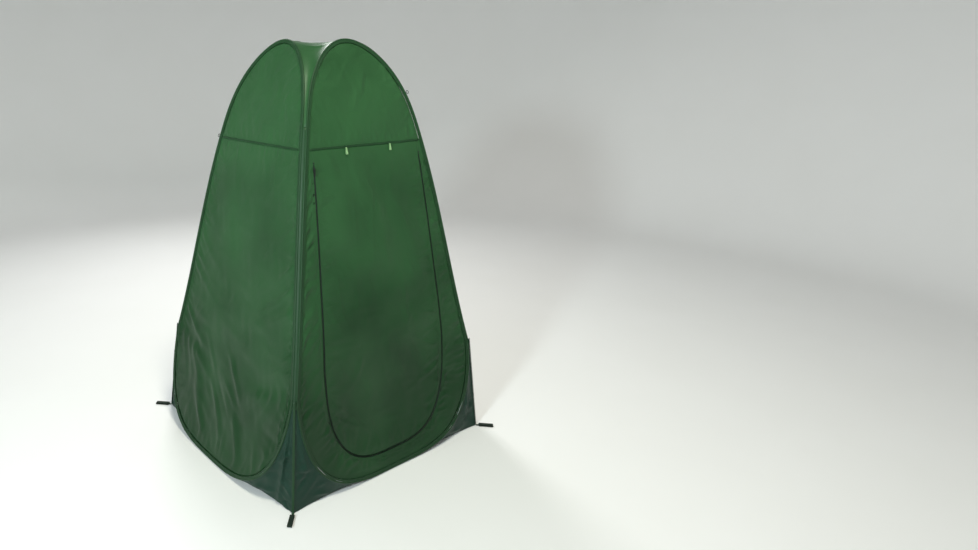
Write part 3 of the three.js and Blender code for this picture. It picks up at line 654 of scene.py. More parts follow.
def cloth_material(name, light, deep, roughness):
    """Polyester taffeta, calendered and coated: threads pressed flat give a soft satin gloss."""
    found = bpy.data.materials.get(name)
    if found:
        return found
    material, tree, shader = new_material(name, light, roughness, Specular_IOR_Level=0.26, IOR=1.45)
    place = node(tree, "ShaderNodeTexCoord").outputs["Object"]
    patch = node(tree, "ShaderNodeTexNoise", Scale=2.6, Detail=3.0, Roughness=0.5, links=[("Vector", place)])
    height = node(tree, "ShaderNodeSeparateXYZ", links=[("Vector", place)])
    # Painted shade: the cloth gets darker towards the bottom, mixed towards the deep colour by height, on top
    # of the random tone patches.
    lower = ranged(tree, height.outputs["Z"], 0.15, 1.45, 0.35, -0.25)
    both = node(tree, "ShaderNodeMath", operation="ADD", links=[(0, patch.outputs["Fac"]), (1, lower)])
    factor = ranged(tree, both.outputs[0], 0.2, 0.85, 0, 1)
    tree.links.new(shader.inputs["Base Color"], mixed(tree, factor, light, deep))
    worn = node(tree, "ShaderNodeTexNoise", Scale=14.0, Detail=4.0, links=[("Vector", place)])
    tree.links.new(shader.inputs["Roughness"],
                   ranged(tree, worn.outputs["Fac"], 0.3, 0.7, roughness - 0.05, roughness + 0.07))
    # Threads are 0.12 mm apart; drawn 1.2 mm apart, as fine as can show.
    woven_bump(tree, shader, place, 0.0012, 0.0001, 55.0, 0.0005)
    return material


def tent_cloth():
    c = colours()
    return cloth_material("coated polyester taffeta", c.cloth, c.cloth_deep, 0.42)


def gusset_cloth():
    c = colours()
    deep = tuple(v * 0.7 for v in c.gusset)
    return cloth_material("coated polyester taffeta, ground gusset", c.gusset, deep, 0.40)


def inside_cloth():
    """Polyurethane coat on the back of the cloth: duller and darker than the face."""
    c = colours()
    deep = tuple(v * 0.8 for v in c.inside)
    return cloth_material("polyurethane-coated cloth back", c.inside, deep, 0.58)


def ribbed_material(name, colour, roughness, rib, relief):
    """A narrow woven band: cross ribs of packed weft over a plain ground, matt, with a little fuzz."""
    found = bpy.data.materials.get(name)
    if found:
        return found
    material, tree, shader = new_material(name, colour, roughness, Specular_IOR_Level=0.2)
    place = node(tree, "ShaderNodeTexCoord").outputs["Object"]
    ribs = node(tree, "ShaderNodeTexWave", bands_direction="DIAGONAL", Scale=0.5 / rib, Distortion=0.8,
                links=[("Vector", place)])
    fuzz = node(tree, "ShaderNodeTexNoise", Scale=900.0, Detail=2.0, links=[("Vector", place)])
    both = node(tree, "ShaderNodeMath", operation="ADD",
                links=[(0, ribs.outputs["Fac"]), (1, fuzz.outputs["Fac"])])
    deep = tuple(v * 0.6 for v in colour)
    tree.links.new(shader.inputs["Base Color"],
                   mixed(tree, ranged(tree, both.outputs[0], 0.4, 1.5, 0, 1), deep, colour))
    bump = node(tree, "ShaderNodeBump", Strength=0.6, Distance=relief, links=[("Height", both.outputs[0])])
    tree.links.new(shader.inputs["Normal"], bump.outputs["Normal"])
    return material


def binding_material():
    c = colours()
    return cloth_material("polyester taffeta tunnel", c.binding, tuple(v * 0.7 for v in c.binding), 0.45)


def webbing_material():
    return ribbed_material("polyester webbing", colours().webbing, 0.70, 0.0018, 0.0005)


def zip_tape_material():
    return ribbed_material("woven zip tape", colours().zip_tape, 0.75, 0.0014, 0.0002)


def coil_material():
    return ribbed_material("nylon zip coil", tuple(v * 0.8 for v in colours().zip_tape), 0.35, 0.0020, 0.0001)


def ribbon_material():
    return ribbed_material("elastic ribbon", colours().ribbon, 0.60, 0.0012, 0.0003)


def metal_material(name, colour, metallic, roughness, grain, spread):
    """Metal whose finish varies: painted zinc has fine orange peel, drawn wire long faint marks."""
    found = bpy.data.materials.get(name)
    if found:
        return found
    material, tree, shader = new_material(name, colour, roughness, Metallic=metallic)
    place = node(tree, "ShaderNodeTexCoord").outputs["Object"]
    marks = node(tree, "ShaderNodeTexNoise", Scale=grain, Detail=4.0, links=[("Vector", place)])
    tree.links.new(shader.inputs["Roughness"],
                   ranged(tree, marks.outputs["Fac"], 0.3, 0.7, roughness - spread, roughness + spread))
    bright = tuple(min(1, v * 1.5) for v in colour)
    tree.links.new(shader.inputs["Base Color"],
                   mixed(tree, ranged(tree, marks.outputs["Fac"], 0.4, 0.75, 0, 1), colour, bright))
    bump = node(tree, "ShaderNodeBump", Strength=0.3, Distance=0.0001,
                links=[("Height", marks.outputs["Fac"])])
    tree.links.new(shader.inputs["Normal"], bump.outputs["Normal"])
    return material


def painted_zinc():
    return metal_material("painted die-cast zinc", linear("#2a2f2c"), 0.6, 0.42, 700.0, 0.08)


def spring_steel():
    return metal_material("drawn spring steel", linear("#8b8f92"), 1.0, 0.32, 260.0, 0.10)


def floor_material():
    """A matt, pale studio floor with the faintest mottling."""
    material, tree, shader = new_material("matt studio floor", linear("#f4f4f2"), 0.9)
    place = node(tree, "ShaderNodeTexCoord").outputs["Object"]
    mottle = node(tree, "ShaderNodeTexNoise", Scale=1.5, Detail=3.0, links=[("Vector", place)])
    tree.links.new(shader.inputs["Base Color"],
                   mixed(tree, mottle.outputs["Fac"], linear("#f3f3f1"), linear("#f7f7f6")))
    return material


# ---------- Pieces ----------


class TENT_OT_stage(bpy.types.Operator):
    """Adds the floor, the lights and the camera"""

    bl_idname = "tent.stage"
    bl_label = "Stage"

    def execute(self, context):
        scene = context.scene
        self.camera(scene)
        self.floor()
        self.lights(scene)
        return {"FINISHED"}

    def camera(self, scene):
        data = bpy.data.cameras.new("Camera")
        camera = bpy.data.objects.new("Camera", data)
        scene.collection.objects.link(camera)
        data.sensor_width = 36
        data.lens = 23.99
        data.shift_x = 0.1737
        turn, down = math.radians(-37.33), math.radians(17.87)
        forward = Vector((-math.sin(turn) * math.cos(down), math.cos(turn) * math.cos(down), -math.sin(down)))
        camera.location = (-1.8841, -2.4695, 1.7892)
        camera.rotation_mode = "QUATERNION"
        camera.rotation_quaternion = forward.to_track_quat("-Z", "Y")
        scene.camera = camera

    def floor(self):
        """A floor that curves up into a backdrop all round, so that no horizon shows."""
        radius, rise = 9.0, 6.0

        def place(u, v):
            x, y = (u - 0.5) * 2, (v - 0.5) * 2
            reach = np.maximum(np.abs(x), np.abs(y)) / np.maximum(1e-6, np.hypot(x, y))
            far = np.hypot(x, y) * reach * radius
            lift = rise * smooth_step(far, 5.0, radius) ** 1.5
            return np.stack([x * radius * reach, y * radius * reach, lift - 0.0005], axis=-1)

        bm = grid(96, 96, place)
        mesh = bpy.data.meshes.new("Floor")
        bm.to_mesh(mesh)
        bm.free()
        mesh.materials.append(floor_material())
        mesh.shade_smooth()
        floor = bpy.data.objects.new("Floor", mesh)
        bpy.context.scene.collection.objects.link(floor)

    def lights(self, scene):
        world = bpy.data.worlds.new("Studio")
        scene.world = world
        world.use_nodes = True
        sky = world.node_tree.nodes["Background"]
        sky.inputs["Color"].default_value = (0.96, 0.98, 1.0, 1)
        sky.inputs["Strength"].default_value = 0.24
        scene.view_settings.view_transform = "Standard"
        self.area_light("Key", (-4.2, -2.0, 2.4), (0, 0, 0.9), 0.6, 140, (0.84, 0.97, 1.0))
        self.area_light("Top", (-0.5, -1.5, 4.6), (0, -0.3, 0.9), 0.8, 92, (1.0, 0.98, 0.82))
        self.area_light("Back", (1.2, 3.4, 3.6), (0, 0, 1.0), 1.5, 100, (1, 1, 1))

    def area_light(self, name, place, aim, size, power, colour):
        data = bpy.data.lights.new(name, "AREA")
        data.shape = "DISK"
        data.size = size
        data.energy = power
        data.color = colour
        light = bpy.data.objects.new(name, data)
        light.location = place
        light.rotation_mode = "QUATERNION"
        light.rotation_quaternion = (Vector(aim) - Vector(place)).to_track_quat("-Z", "Y")
        bpy.context.scene.collection.objects.link(light)


def wall_cloth(name, wall, columns, rows, place_flat, folds, lean, replaces, body="tent", edge=0.035):
    """A wall panel: place_flat gives its flat (x, z) and how far a point is from the panel's edge."""
    s = sizes()

    def place(u, v):
        x, z, margin = place_flat(u, v)
        inner = smooth_step(margin, 0.0, edge)
        height = folds.height(x, z) * smooth_step(margin, -0.004, 0.012)
        height += s.slack * inner * swell(x, z, name, 0.30, lean)
        height += 0.22 * s.slack * inner * swell(x, z, name + " fine", 0.085, lean)
        return off_wall(wall, x, z, height - 0.0020)

    def smooth_place(u, v):
        x, z, _ = place_flat(u, v)
        return on_wall(wall, x, z)

    flat_bm = grid(24, 24, smooth_place)
    area = sum(face.calc_area() for face in flat_bm.faces) * 1.01
    flat_bm.free()
    bm = facing(grid(columns, rows, place), outwards)
    piece = new_piece(name, bm, [tent_cloth(), inside_cloth()], body)
    thickened(piece, s.cloth, inside=True)
    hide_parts(*replaces)
    return piece, area


def eased(u):
    """Closer columns towards the two sides."""
    t = 2 * u - 1
    return 0.45 * t + 0.55 * np.sin(math.pi * t / 2)


class TENT_OT_walls(bpy.types.Operator):
    """Makes the cloth of the four walls, above and below the horizontal seam"""

    bl_idname = "tent.walls"
    bl_label = "Walls"

    def execute(self, context):
        for wall in WALLS:
            self.upper(wall)
            if wall != "front":
                self.lower(wall)
        self.surround()
        return {"FINISHED"}

    def upper(self, wall):
        tuck = 0.012

        def flat(u, v):
            angle = math.pi * (1 - u)
            sine = np.sin(angle).clip(0)
            share = np.cos(angle)
            top = JOIN_HIGH + (HOOP_TOP - JOIN_HIGH) * sine ** UPPER_POWER - tuck
            z = SEAM_HEIGHT + (top - SEAM_HEIGHT) * v
            x = (corner_half(z) - HOOP_INSET - tuck * np.abs(share) - 0.004) * share
            margin = np.minimum((top - z), (1 - np.abs(share)) * corner_half(z)) + 0.002
            margin = np.minimum(margin, z - SEAM_HEIGHT + 0.004)
            return x, z, margin

        piece, area = wall_cloth(f"{wall}_upper_wall_cloth", wall, 120, 56, flat, upper_wall_folds(wall), 60,
                                 [f"{wall}_upper_panel"])
        cloth_sheet(piece)

    def lower(self, wall):
        tuck = 0.012

        def flat(u, v):
            share = eased(u)
            cosine = np.abs(share) ** (1 / LOWER_SHARE_POWER)
            sine = np.sqrt((1 - cosine ** 2).clip(0))
            foot = JOIN_LOW - (JOIN_LOW - HOOP_FOOT) * sine ** LOWER_DROP_POWER + tuck
            z = foot + (SEAM_HEIGHT - foot) * v
            x = (corner_half(z) - HOOP_INSET - tuck) * share
            margin = np.minimum(z - foot, (1 - np.abs(share)) * corner_half(z)) + 0.002
            margin = np.minimum(margin, SEAM_HEIGHT - z + 0.004)
            return x, z, margin

        piece, area = wall_cloth(f"{wall}_lower_wall_cloth", wall, 130, 130, flat, lower_wall_folds(wall), 40,
                                 [f"{wall}_lower_panel"])
        cloth_sheet(piece)

    def surround(self):
        """The cloth between the door's zip and the front hoop."""
        tuck, turns = 0.012, 0.5

        def edges(t):
            """(x, z) of the zip's side and the hoop's, t from 0 at the seam to 1 at the middle below."""
            leg = np.clip(t / turns, 0, 1)
            angle = np.clip((t - turns) / (1 - turns), 0, 1) * math.pi / 2
            cosine, sine = np.cos(angle).clip(0), np.sin(angle)
            leg_z = SEAM_HEIGHT + (ZIP_TURN - SEAM_HEIGHT) * leg
            gap = zip_gap(leg_z)
            zip_leg = ZIP_HALF_TOP + (ZIP_HALF_LOW - ZIP_HALF_TOP) * leg + gap
            zip_x = zip_leg * cosine ** (2 / ZIP_ROUND)
            zip_z = leg_z - (ZIP_TURN - ZIP_FOOT + gap) * sine ** (2 / ZIP_ROUND)
            share, low_z = lower_outline(angle)
            hoop_z = np.where(t < turns, SEAM_HEIGHT + (JOIN_LOW - SEAM_HEIGHT) * leg, low_z + tuck * sine)
            hoop_x = (corner_half(hoop_z) - HOOP_INSET - tuck) * share
            return zip_x, zip_z, hoop_x, hoop_z

        def flat(u, v):
            t = 1 - np.abs(2 * u - 1)
            side = np.sign(2 * u - 1 + 1e-12)
            zip_x, zip_z, hoop_x, hoop_z = edges(t)
            x = zip_x + (hoop_x - zip_x) * v
            z = zip_z + (hoop_z - zip_z) * v
            width = np.hypot(hoop_x - zip_x, hoop_z - zip_z)
            margin = np.minimum(v, 1 - v) * width + 0.002
            return side * x, z, np.minimum(margin, SEAM_HEIGHT - z + 0.006)

        piece, area = wall_cloth("front_surround_cloth", "front", 330, 26, flat, surround_folds(), 25,
                                 ["door_surround"], edge=0.05)
        cloth_sheet(piece)


def gathers_up(piece):
    """Gives a door piece a mesh of its own."""
    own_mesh(piece)


class TENT_OT_door(bpy.types.Operator):
    """Makes the U-shaped door cloth"""

    bl_idname = "tent.door"
    bl_label = "Door"

    def execute(self, context):
        def flat(u, v):
            share = eased(u)
            gap = zip_gap(ZIP_FOOT)
            roundness = (1 - np.abs(share) ** ZIP_ROUND).clip(0) ** (1 / ZIP_ROUND)
            foot = ZIP_TURN - (ZIP_TURN - ZIP_FOOT - gap) * roundness
            z = foot + (SEAM_HEIGHT - foot) * v
            leg = np.clip((SEAM_HEIGHT - z) / (SEAM_HEIGHT - ZIP_TURN), 0, 1)
            half = ZIP_HALF_TOP + (ZIP_HALF_LOW - ZIP_HALF_TOP) * leg - zip_gap(z)
            margin = np.minimum(z - foot, (1 - np.abs(share)) * half) + 0.002
            return half * share, z, np.minimum(margin, SEAM_HEIGHT - z + 0.006)

        piece, area = wall_cloth("door_cloth", "front", 110, 140, flat, door_folds(), 75, ["door_panel"],
                                 body="door", edge=0.05)
        cloth_sheet(piece)
        gathers_up(piece)
        return {"FINISHED"}


class TENT_OT_hoops(bpy.types.Operator):
    """Makes the hoop tunnels: a round tunnel over the wire and a flat band stitched to the panel"""

    bl_idname = "tent.hoops"
    bl_label = "Hoop tunnels"

    def execute(self, context):
        for wall in WALLS:
            self.tunnel(wall)
        return {"FINISHED"}

    def tunnel(self, wall):
        s = sizes()
        count = 460
        frames = hoop_frames(wall, count)
        section = self.section(s.tube, s.tongue)
        along = np.arange(count) / count * 4.7
        pucker = TUNNEL_PUCKER * swell(along, along * 0, wall + " pucker", 0.022, 90)
        pucker += 0.0005 * swell(along, along * 0, wall + " pucker wide", 0.06, 90)
        rows = np.repeat(section[None], count, axis=0)
        flatness = smooth_step(rows[..., 0], s.tube, s.tube * 2)
        rows[..., 1] += flatness * pucker[:, None]
        rows[..., 0] += 0.4 * flatness * pucker[:, None]
        tube = swept(frames, rows)
        piece = new_piece(f"{wall}_hoop_tunnel", tube, [binding_material()], "tent")
        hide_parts(f"{wall}_hoop_sleeve")

    def section(self, tube, tongue):
        """Round over the wire, a groove, then a flat band with a line pulled down by its stitches."""
        points = []
        for degrees in range(40, 321, 35):
            angle = math.radians(degrees)
            points.append((tube * math.cos(angle), tube * math.sin(angle)))
        skin, stitch = 0.0012, tongue * 0.72
        points += [(tube * 1.5, -skin), (tongue, -skin), (tongue + 0.0006, 0), (tongue, skin)]
        points += [(stitch + 0.002, skin * 1.2), (stitch, skin * 0.3), (stitch - 0.002, skin * 1.3)]
        points += [(tube * 1.9, skin * 1.2)]
        return np.array(points)


class TENT_OT_seams(bpy.types.Operator):
    """Makes the horizontal seams and the seams up the corners"""

    bl_idname = "tent.seams"
    bl_label = "Seams"

    def execute(self, context):
        for wall in WALLS:
            self.horizontal(wall)
        for turn, corner in enumerate(CORNERS):
            self.upright(corner, turn)
        return {"FINISHED"}

    def horizontal(self, wall):
        """A lapped seam, with two rows of stitches that sink into it."""
        half = float(corner_half(SEAM_HEIGHT)) - 0.036
        x = np.linspace(-half, half, 160)
        waver = 0.0008 * swell(x, x * 0, wall + " seam", 0.09, 90)
        line = (x, np.full(160, SEAM_HEIGHT) + waver)
        widths = np.array([-4.4, -4, -3, -2.5, -2.0, 1.4, 2.0, 2.6, 3.4, 3.8]) * 0.001
        heights = np.array([-2.6, -0.2, 0.0, -0.9, 0.1, 0.4, -0.6, 0.5, 0.4, -2.6]) * 0.001
        bm, length = band(line, widths, heights, 160, wall)
        piece = new_piece(f"{wall}_seam_lap", bm, [binding_material()], "tent")
        thickened(piece, sizes().cloth)
        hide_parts(f"{wall}_seam_tape")

    def upright(self, corner, turn):
        """The tape behind two hoops where they stand side by side."""
        behind, half_width = 0.008, 0.013

        def place(u, v):
            z = JOIN_LOW - 0.035 + (JOIN_HIGH - JOIN_LOW + 0.06) * v
            half = corner_half(z) - behind
            shift = (u - 0.5) * 2 * half_width / math.sqrt(2)
            bulge = 0.003 * (1 - (2 * u - 1) ** 2)
            return turned(np.stack([-half + shift - bulge, -half - shift - bulge, z], axis=-1), turn)

        bm = facing(grid(8, 90, place), outwards)
        piece = new_piece(f"{corner}_corner_seam", bm, [binding_material()], "tent")
        thickened(piece, 0.001)
        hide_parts(f"{corner}_corner_tape")


def corner_walls(turn):
    """(wall on the left of a corner as seen from outside, wall on its right)."""
    return WALLS[(turn + 3) % 4], WALLS[turn % 4]


def corner_edges(turn, upper, angle, back):
    """The outside edges of the two hoops beside a corner, at a hoop angle."""
    share, z = upper_outline(angle) if upper else lower_outline(angle)
    points = []
    for wall, side in zip(corner_walls(turn), (1, -1)):
        reach = corner_half(z) - HOOP_INSET
        place = on_wall(wall, side * reach * share, z)
        inner = on_wall(wall, side * reach * share * 0.97, z * 0.97 + 0.03)
        points.append(place + unit(place - inner) * back)
    return points


CORNER_OUT = np.array([-1, -1, 0]) / math.sqrt(2)


class TENT_OT_roof(bpy.types.Operator):
    """Makes the roof cloth between the hoops, and the patch in its middle"""

    bl_idname = "tent.roof"
    bl_label = "Roof"

    def execute(self, context):
        for turn, corner in enumerate(CORNERS):
            self.gusset(corner, turn)
        self.patch()
        return {"FINISHED"}

    def gusset(self, corner, turn):
        s = sizes()
        folds = Folds(corner + " roof")
        folds.scattered(16, (0.02, 0.6), (0.02, 0.40), (0.05, 0.20), (-25, 25), (0.008, 0.015),
                        (0.2 * s.crease, 0.5 * s.crease))
        out = turned(CORNER_OUT[None], turn)[0]

        def place(u, v):
            angle = math.pi / 2 * v
            a, b = corner_edges(turn, True, angle, 0.002)
            span = np.linalg.norm(a - b, axis=-1)
            dip = np.minimum(s.roof_sag, 0.12 * span) * 4 * u * (1 - u)
            down = np.stack([-out[0] * (1 - v), -out[1] * (1 - v), -0.3 - 0.7 * v], axis=-1)
            point = a + (b - a) * u[:, None] + unit(down) * dip[:, None]
            crumple = folds.height(u * span, v * 0.42) * 4 * u * (1 - u)
            return point - unit(down) * crumple[:, None]

        bm = facing(grid(30, 60, place), lambda p: Vector((out[0], out[1], 1)))
        bmesh.ops.remove_doubles(bm, verts=bm.verts, dist=0.00005)
        piece = new_piece(f"{corner}_roof_cloth", bm, [tent_cloth(), inside_cloth()], "tent")
        thickened(piece, s.cloth, inside=True)
        cloth_sheet(piece)
        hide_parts(f"{corner}_roof_gusset")

    def patch(self):
        """The square patch between the four hoop tops."""
        s = sizes()
        tops = [corner_edges(turn, True, np.full(1, math.pi / 2), 0.002)[0][0] for turn in range(4)]

        def place(u, v):
            u, v = u[:, None], v[:, None]
            flat = (tops[0] * (1 - u) * (1 - v) + tops[1] * u * (1 - v)
                    + tops[2] * u * v + tops[3] * (1 - u) * v)
            rim = np.maximum(4 * u * (1 - u), 4 * v * (1 - v)) * s.roof_sag
            middle = 16 * u * (1 - u) * v * (1 - v) * s.roof_sag * 0.7
            flat[:, 2] -= (rim + middle)[:, 0]
            return flat

        bm = facing(grid(40, 40, place), lambda p: Vector((0, 0, 1)))
        piece = new_piece("roof_patch", bm, [tent_cloth(), inside_cloth()], "tent")
        thickened(piece, s.cloth, inside=True)
        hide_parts("roof_cap")


def gusset_fold(share):
    """The line down the middle of a ground gusset, from the join to the peg corner."""
    half = corner_half(JOIN_LOW) + (PEG_CORNER - corner_half(JOIN_LOW)) * share
    return np.stack([-half, -half, JOIN_LOW + (GUSSET_HEM - JOIN_LOW) * share], axis=-1)


class TENT_OT_gussets(bpy.types.Operator):
    """Makes the crumpled ground gussets, with the binding down their middle"""

    bl_idname = "tent.gussets"
    bl_label = "Ground gussets"

    def execute(self, context):
        for turn, corner in enumerate(CORNERS):
            self.cloth(corner, turn)
            self.binding(corner, turn)
        return {"FINISHED"}

    def cloth(self, corner, turn):
        s = sizes()
        folds = Folds(corner + " ground")
        for side in (-1, 1):
            for i in range(7):
                folds.add(side * 0.03, 0.04, folds.between(0.25, 0.5), 90 - side * (8 + 9 * i),
                          folds.between(0.014, 0.028), s.fold * folds.between(0.6, 1.2) * (-1) ** i,
                          side * folds.between(-0.03, 0.03))
        folds.scattered(46, (-0.40, 0.40), (0.10, 0.50), (0.05, 0.20), (-50, 50), (0.008, 0.018),
                        (0.5 * s.crease, 1.6 * s.crease))

        def place(u, v):
            angle = GUSSET_LOWEST_ANGLE * (0.02 + 0.98 * v)
            a, b = corner_edges(turn, False, angle, 0.002)
            drop = (JOIN_LOW - a[:, 2]) / (JOIN_LOW - lower_outline(np.full(1, GUSSET_LOWEST_ANGLE))[1])
            fold = turned(gusset_fold(drop), turn)
            left = u < 0.5
            start = np.where(left[:, None], a, fold)
            end = np.where(left[:, None], fold, b)
            share = np.where(left, 2 * u, 2 * u - 1)
            span = np.linalg.norm(end - start, axis=-1)
            out = turned(CORNER_OUT[None], turn)
            sag = 0.05 * span * 4 * share * (1 - share)
            point = start + (end - start) * share[:, None] - out * sag[:, None]
            width = np.where(left, -1, 1) * np.where(left, 1 - share, share) * span
            fade = smooth_step(np.minimum(share, 1 - share) * span, 0.0, 0.03)
            height = folds.height(width, drop * 0.49) * fade
            height += 0.6 * s.slack * fade * swell(width, drop * 0.49, corner, 0.10, 70)
            point = point + out * height[:, None]
            point[:, 2] = np.maximum(point[:, 2], 0.0015)
            return point

        bm = facing(grid(110, 70, place), outwards)
        materials = [gusset_cloth(), inside_cloth()]
        piece = new_piece(f"{corner}_ground_gusset_cloth", bm, materials, "tent")
        thickened(piece, s.cloth, inside=True)
        cloth_sheet(piece)
        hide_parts(f"{corner}_ground_gusset")

    def binding(self, corner, turn):
        """Tape down the fold, and out along the ground to the peg loop."""
        half_width, tail = 0.0055, 0.018
        drop_share = 0.93

        def place(u, v):
            down = np.clip(v / drop_share, 0, 1)
            past = np.clip((v - drop_share) / (1 - drop_share), 0, 1)
            centre = gusset_fold(down)
            centre = centre + CORNER_OUT * (0.0020 + tail * past)[:, None]
            centre[:, 2] = np.maximum(centre[:, 2], 0.0032)
            across = (u - 0.5) * 2 * half_width
            sideways = np.array([1, -1, 0]) / math.sqrt(2)
            crown = 0.0012 * (1 - (2 * u - 1) ** 2)
            return turned(centre + across[:, None] * sideways + CORNER_OUT * crown[:, None], turn)

        bm = facing(grid(8, 70, place), outwards)
        piece = new_piece(f"{corner}_gusset_tape", bm, [binding_material()], "tent")
        thickened(piece, 0.0012)
        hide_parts(f"{corner}_gusset_binding")


def webbing_loop(name, origin, along, up, across, length, height, width, wall,
                 materials, body, pinch=0.0):
    """A flattened loop of band: a bent strip, pinched in by a share at its start."""
    radius = height / 2 - wall / 2
    straight = length - height

    def place(u, v):
        run = 2 * straight + 2 * math.pi * radius
        d = u * run
        first, second = straight, straight + math.pi * radius
        third = second + straight
        angle_a = np.clip((d - first) / radius, 0, math.pi)
        angle_b = np.clip((d - third) / radius, 0, math.pi)
        x = np.where(d < first, d, np.where(d < second, straight + radius * np.sin(angle_a),
                     np.where(d < third, straight - (d - second), -radius * np.sin(angle_b))))
        y = np.where(d < first, -radius, np.where(d < second, -radius * np.cos(angle_a),
                     np.where(d < third, radius, radius * np.cos(angle_b))))
        w = (v - 0.5) * width * (1 - pinch * (1 - smooth_step(x, 0, straight)))
        return origin + np.outer(x + height / 2, along) + np.outer(y + height / 2, up) + np.outer(w, across)

    bm = grid(96, 8, place)
    bmesh.ops.remove_doubles(bm, verts=bm.verts, dist=0.00005)
    bmesh.ops.recalc_face_normals(bm, faces=bm.faces)
    piece = new_piece(name, bm, materials, body)
    thickened(piece, wall, offset=0.0)
    return piece


class TENT_OT_peg_loops(bpy.types.Operator):
    """Makes the webbing peg loops at the four corners"""

    bl_idname = "tent.peg_loops"
    bl_label = "Peg loops"

    def execute(self, context):
        size = PEG_LOOP
        for turn, corner in enumerate(CORNERS):
            start = np.array([-PEG_CORNER, -PEG_CORNER, 0]) + CORNER_OUT * size["start"]
            origin, along = turned(np.array([start, CORNER_OUT]), turn)
            across = np.cross(along, [0, 0, 1])
            piece = webbing_loop(f"{corner}_peg_webbing", origin, along, np.array([0, 0, 1.0]), across,
                                 size["length"], size["height"], size["width"], 0.0014,
                                 [webbing_material()], f"{corner}_peg_loop")
            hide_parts(f"{corner}_peg_loop")
        return {"FINISHED"}


class TENT_OT_zip(bpy.types.Operator):
    """Makes the zip's two tapes and its coil, and finishes the slider, pull and stops"""

    bl_idname = "tent.zip"
    bl_label = "Zip"

    def execute(self, context):
        x, z = zip_line(0.0, 900)
        line = x[z <= ZIP_TOP], z[z <= ZIP_TOP]
        for side, body, cad in ((1, "tent", "zip_tape_surround"), (-1, "door", "zip_tape_door")):
            tape = self.tape(line, side, body, cad)
            coil = self.coil(line, side, body, cad)
            if body == "door":
                gathers_up(tape)
                gathers_up(coil)
        for name in ("zip_slider", "zip_pull", "zip_stop_left", "zip_stop_right"):
            self.finish(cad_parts[name], painted_zinc(), "zip_metal")
        for wall in WALLS:
            self.finish(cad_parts[f"{wall}_hoop_wire"], spring_steel(), "spring_steel")
        return {"FINISHED"}

    def finish(self, part, material, slot):
        part.data.materials.clear()
        part.data.materials.append(material)

    def tape(self, line, side, body, cad):
        widths = side * np.array([0.8, 3.0, 5.5, 8.4, 9.0, 9.6, 12.0, 12.4]) * 0.001
        heights = np.full(len(widths), -ZIP_TAPE_DEPTH)
        bm, length = band(line, widths, heights, 120, "front")
        piece = new_piece(f"{cad}_cloth", bm, [zip_tape_material()], body)
        thickened(piece, sizes().cloth)
        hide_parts(cad)
        return piece

    def coil(self, line, side, body, cad):
        """The coil's turns, side by side along the tape's edge."""
        x, z = line
        dx, dz = np.gradient(x), np.gradient(z)
        size = np.hypot(dx, dz)
        nx, nz = dz / size, -dx / size
        length = float(np.sum(np.hypot(np.diff(x), np.diff(z))))
        share = np.linspace(0, 1, len(x))

        def place(u, v):
            turn = 0.5 + 0.5 * np.cos(2 * math.pi * (u * length / COIL_PITCH + (0.5 if side > 0 else 0)))
            px, pz = np.interp(u, share, x), np.interp(u, share, z)
            qx, qz = np.interp(u, share, nx), np.interp(u, share, nz)
            across = side * (0.0005 + 0.0022 * v)
            height = COIL_BASE + np.sin(math.pi * v) * (0.0005 + 0.0013 * turn)
            return off_wall("front", px + qx * across, pz + qz * across, height)

        bm = facing(grid(int(length / COIL_PITCH * 4), 4, place), outwards)
        name = "zip_coil_surround" if side > 0 else "zip_coil_door"
        return new_piece(name, bm, [coil_material()], body)


class TENT_OT_ties(bpy.types.Operator):
    """Makes the ribbon ties that hold the raised door"""

    bl_idname = "tent.ties"
    bl_label = "Door ties"

    def execute(self, context):
        length, height, width = 0.030, 0.005, 0.010
        for side, name in ((-1, "left"), (1, "right")):
            x, top_z = np.full(1, side * TIE_OFFSET), SEAM_HEIGHT - 0.004
            top = on_wall("front", x, np.full(1, top_z))[0]
            down = unit(on_wall("front", x, np.full(1, top_z - length))[0] - top)
            out = wall_normal("front", x, np.full(1, SEAM_HEIGHT))[0]
            across = unit(np.cross(down, out))
            square = np.cross(across, down)
            piece = webbing_loop(f"door_tie_{name}_ribbon", top + square * 0.0025, down, square, across,
                                 length, height, width, 0.0009,
                                 [ribbon_material()], f"tie_{name}", 0.45)
            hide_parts(f"door_tie_{name}")
        return {"FINISHED"}


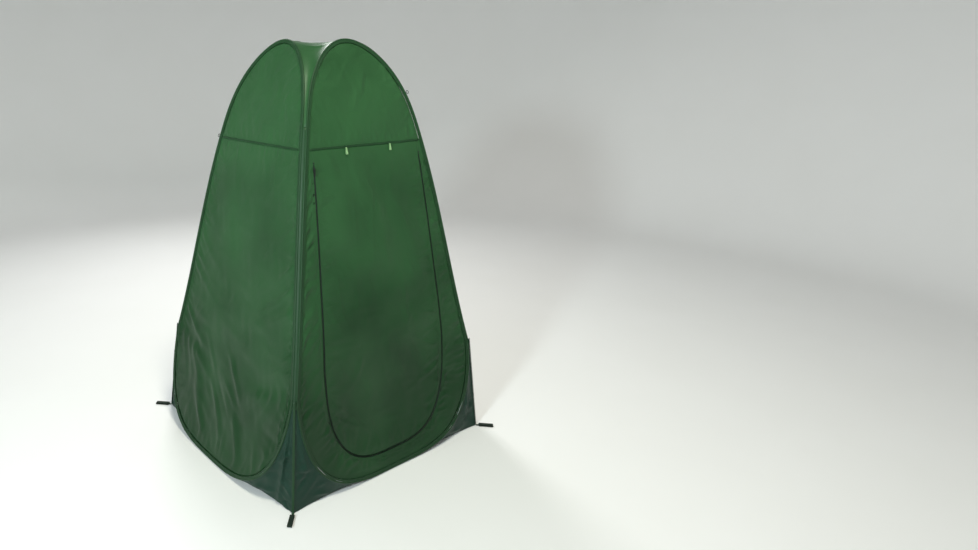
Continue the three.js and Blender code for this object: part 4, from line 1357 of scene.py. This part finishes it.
class TENT_OT_guy_loops(bpy.types.Operator):
    """Makes the small cord rings for guy lines"""

    bl_idname = "tent.guy_loops"
    bl_label = "Guy loops"

    def execute(self, context):
        for name in ("front_guy_loop", "left_guy_loop"):
            self.ring(name)
        return {"FINISHED"}

    def ring(self, name):
        """A ring of laid cord, at the CAD ring's place and slant."""
        points = np.array([v.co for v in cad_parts[name].data.vertices])
        centre = points.mean(axis=0)
        _, axes = np.linalg.eigh(np.cov((points - centre).T))
        normal, first = axes[:, 0], axes[:, 2]
        second = np.cross(normal, first)
        reach = np.linalg.norm((points - centre) @ np.array([first, second]).T, axis=1).max()
        cord = GUY_CORD_RADIUS
        radius = reach - cord
        angle = np.linspace(0, 2 * math.pi, 96, endpoint=False)
        outward = np.outer(np.cos(angle), first) + np.outer(np.sin(angle), second)
        place = centre + outward * radius
        around = np.tile(np.arange(CORD_SIDES) * 2 * math.pi / CORD_SIDES, (len(angle), 1))
        lay = CORD_STRANDS * around + angle[:, None] * CORD_TWISTS
        thick = cord * (0.88 + 0.12 * np.cos(lay))
        section = np.stack([np.cos(around) * thick, np.sin(around) * thick], axis=-1)
        bm = swept((place, -outward, np.repeat(normal[None], len(angle), axis=0)), section)
        piece = new_piece(f"{name}_cord", bm, [webbing_material()], "tent")
        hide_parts(name)


STEPS = (
    TENT_OT_stage,
    TENT_OT_walls,
    TENT_OT_door,
    TENT_OT_hoops,
    TENT_OT_seams,
    TENT_OT_roof,
    TENT_OT_gussets,
    TENT_OT_peg_loops,
    TENT_OT_zip,
    TENT_OT_ties,
    TENT_OT_guy_loops,
)


class TENT_PT_panel(bpy.types.Panel):
    """Lists the tent's sizes, colours and steps"""

    bl_idname = "TENT_PT_panel"
    bl_label = "Privacy Tent"
    bl_space_type = "VIEW_3D"
    bl_region_type = "UI"
    bl_category = "Tent"

    def draw(self, context):
        for group in (context.scene.tent_sizes, context.scene.tent_colours):
            box = self.layout.box()
            for name in group.__annotations__:
                box.prop(group, name)
        for step in STEPS:
            self.layout.operator(step.bl_idname)


CLASSES = (TentSizes, TentColours, *STEPS, TENT_PT_panel)


def register():
    for item in CLASSES:
        bpy.utils.register_class(item)
    bpy.types.Scene.tent_sizes = PointerProperty(type=TentSizes)
    bpy.types.Scene.tent_colours = PointerProperty(type=TentColours)


def unregister():
    del bpy.types.Scene.tent_colours
    del bpy.types.Scene.tent_sizes
    for item in reversed(CLASSES):
        bpy.utils.unregister_class(item)


def main():
    register()
    for step in STEPS:
        group, name = step.bl_idname.split(".")
        getattr(getattr(bpy.ops, group), name)()


if __name__ == "__main__":
    main()
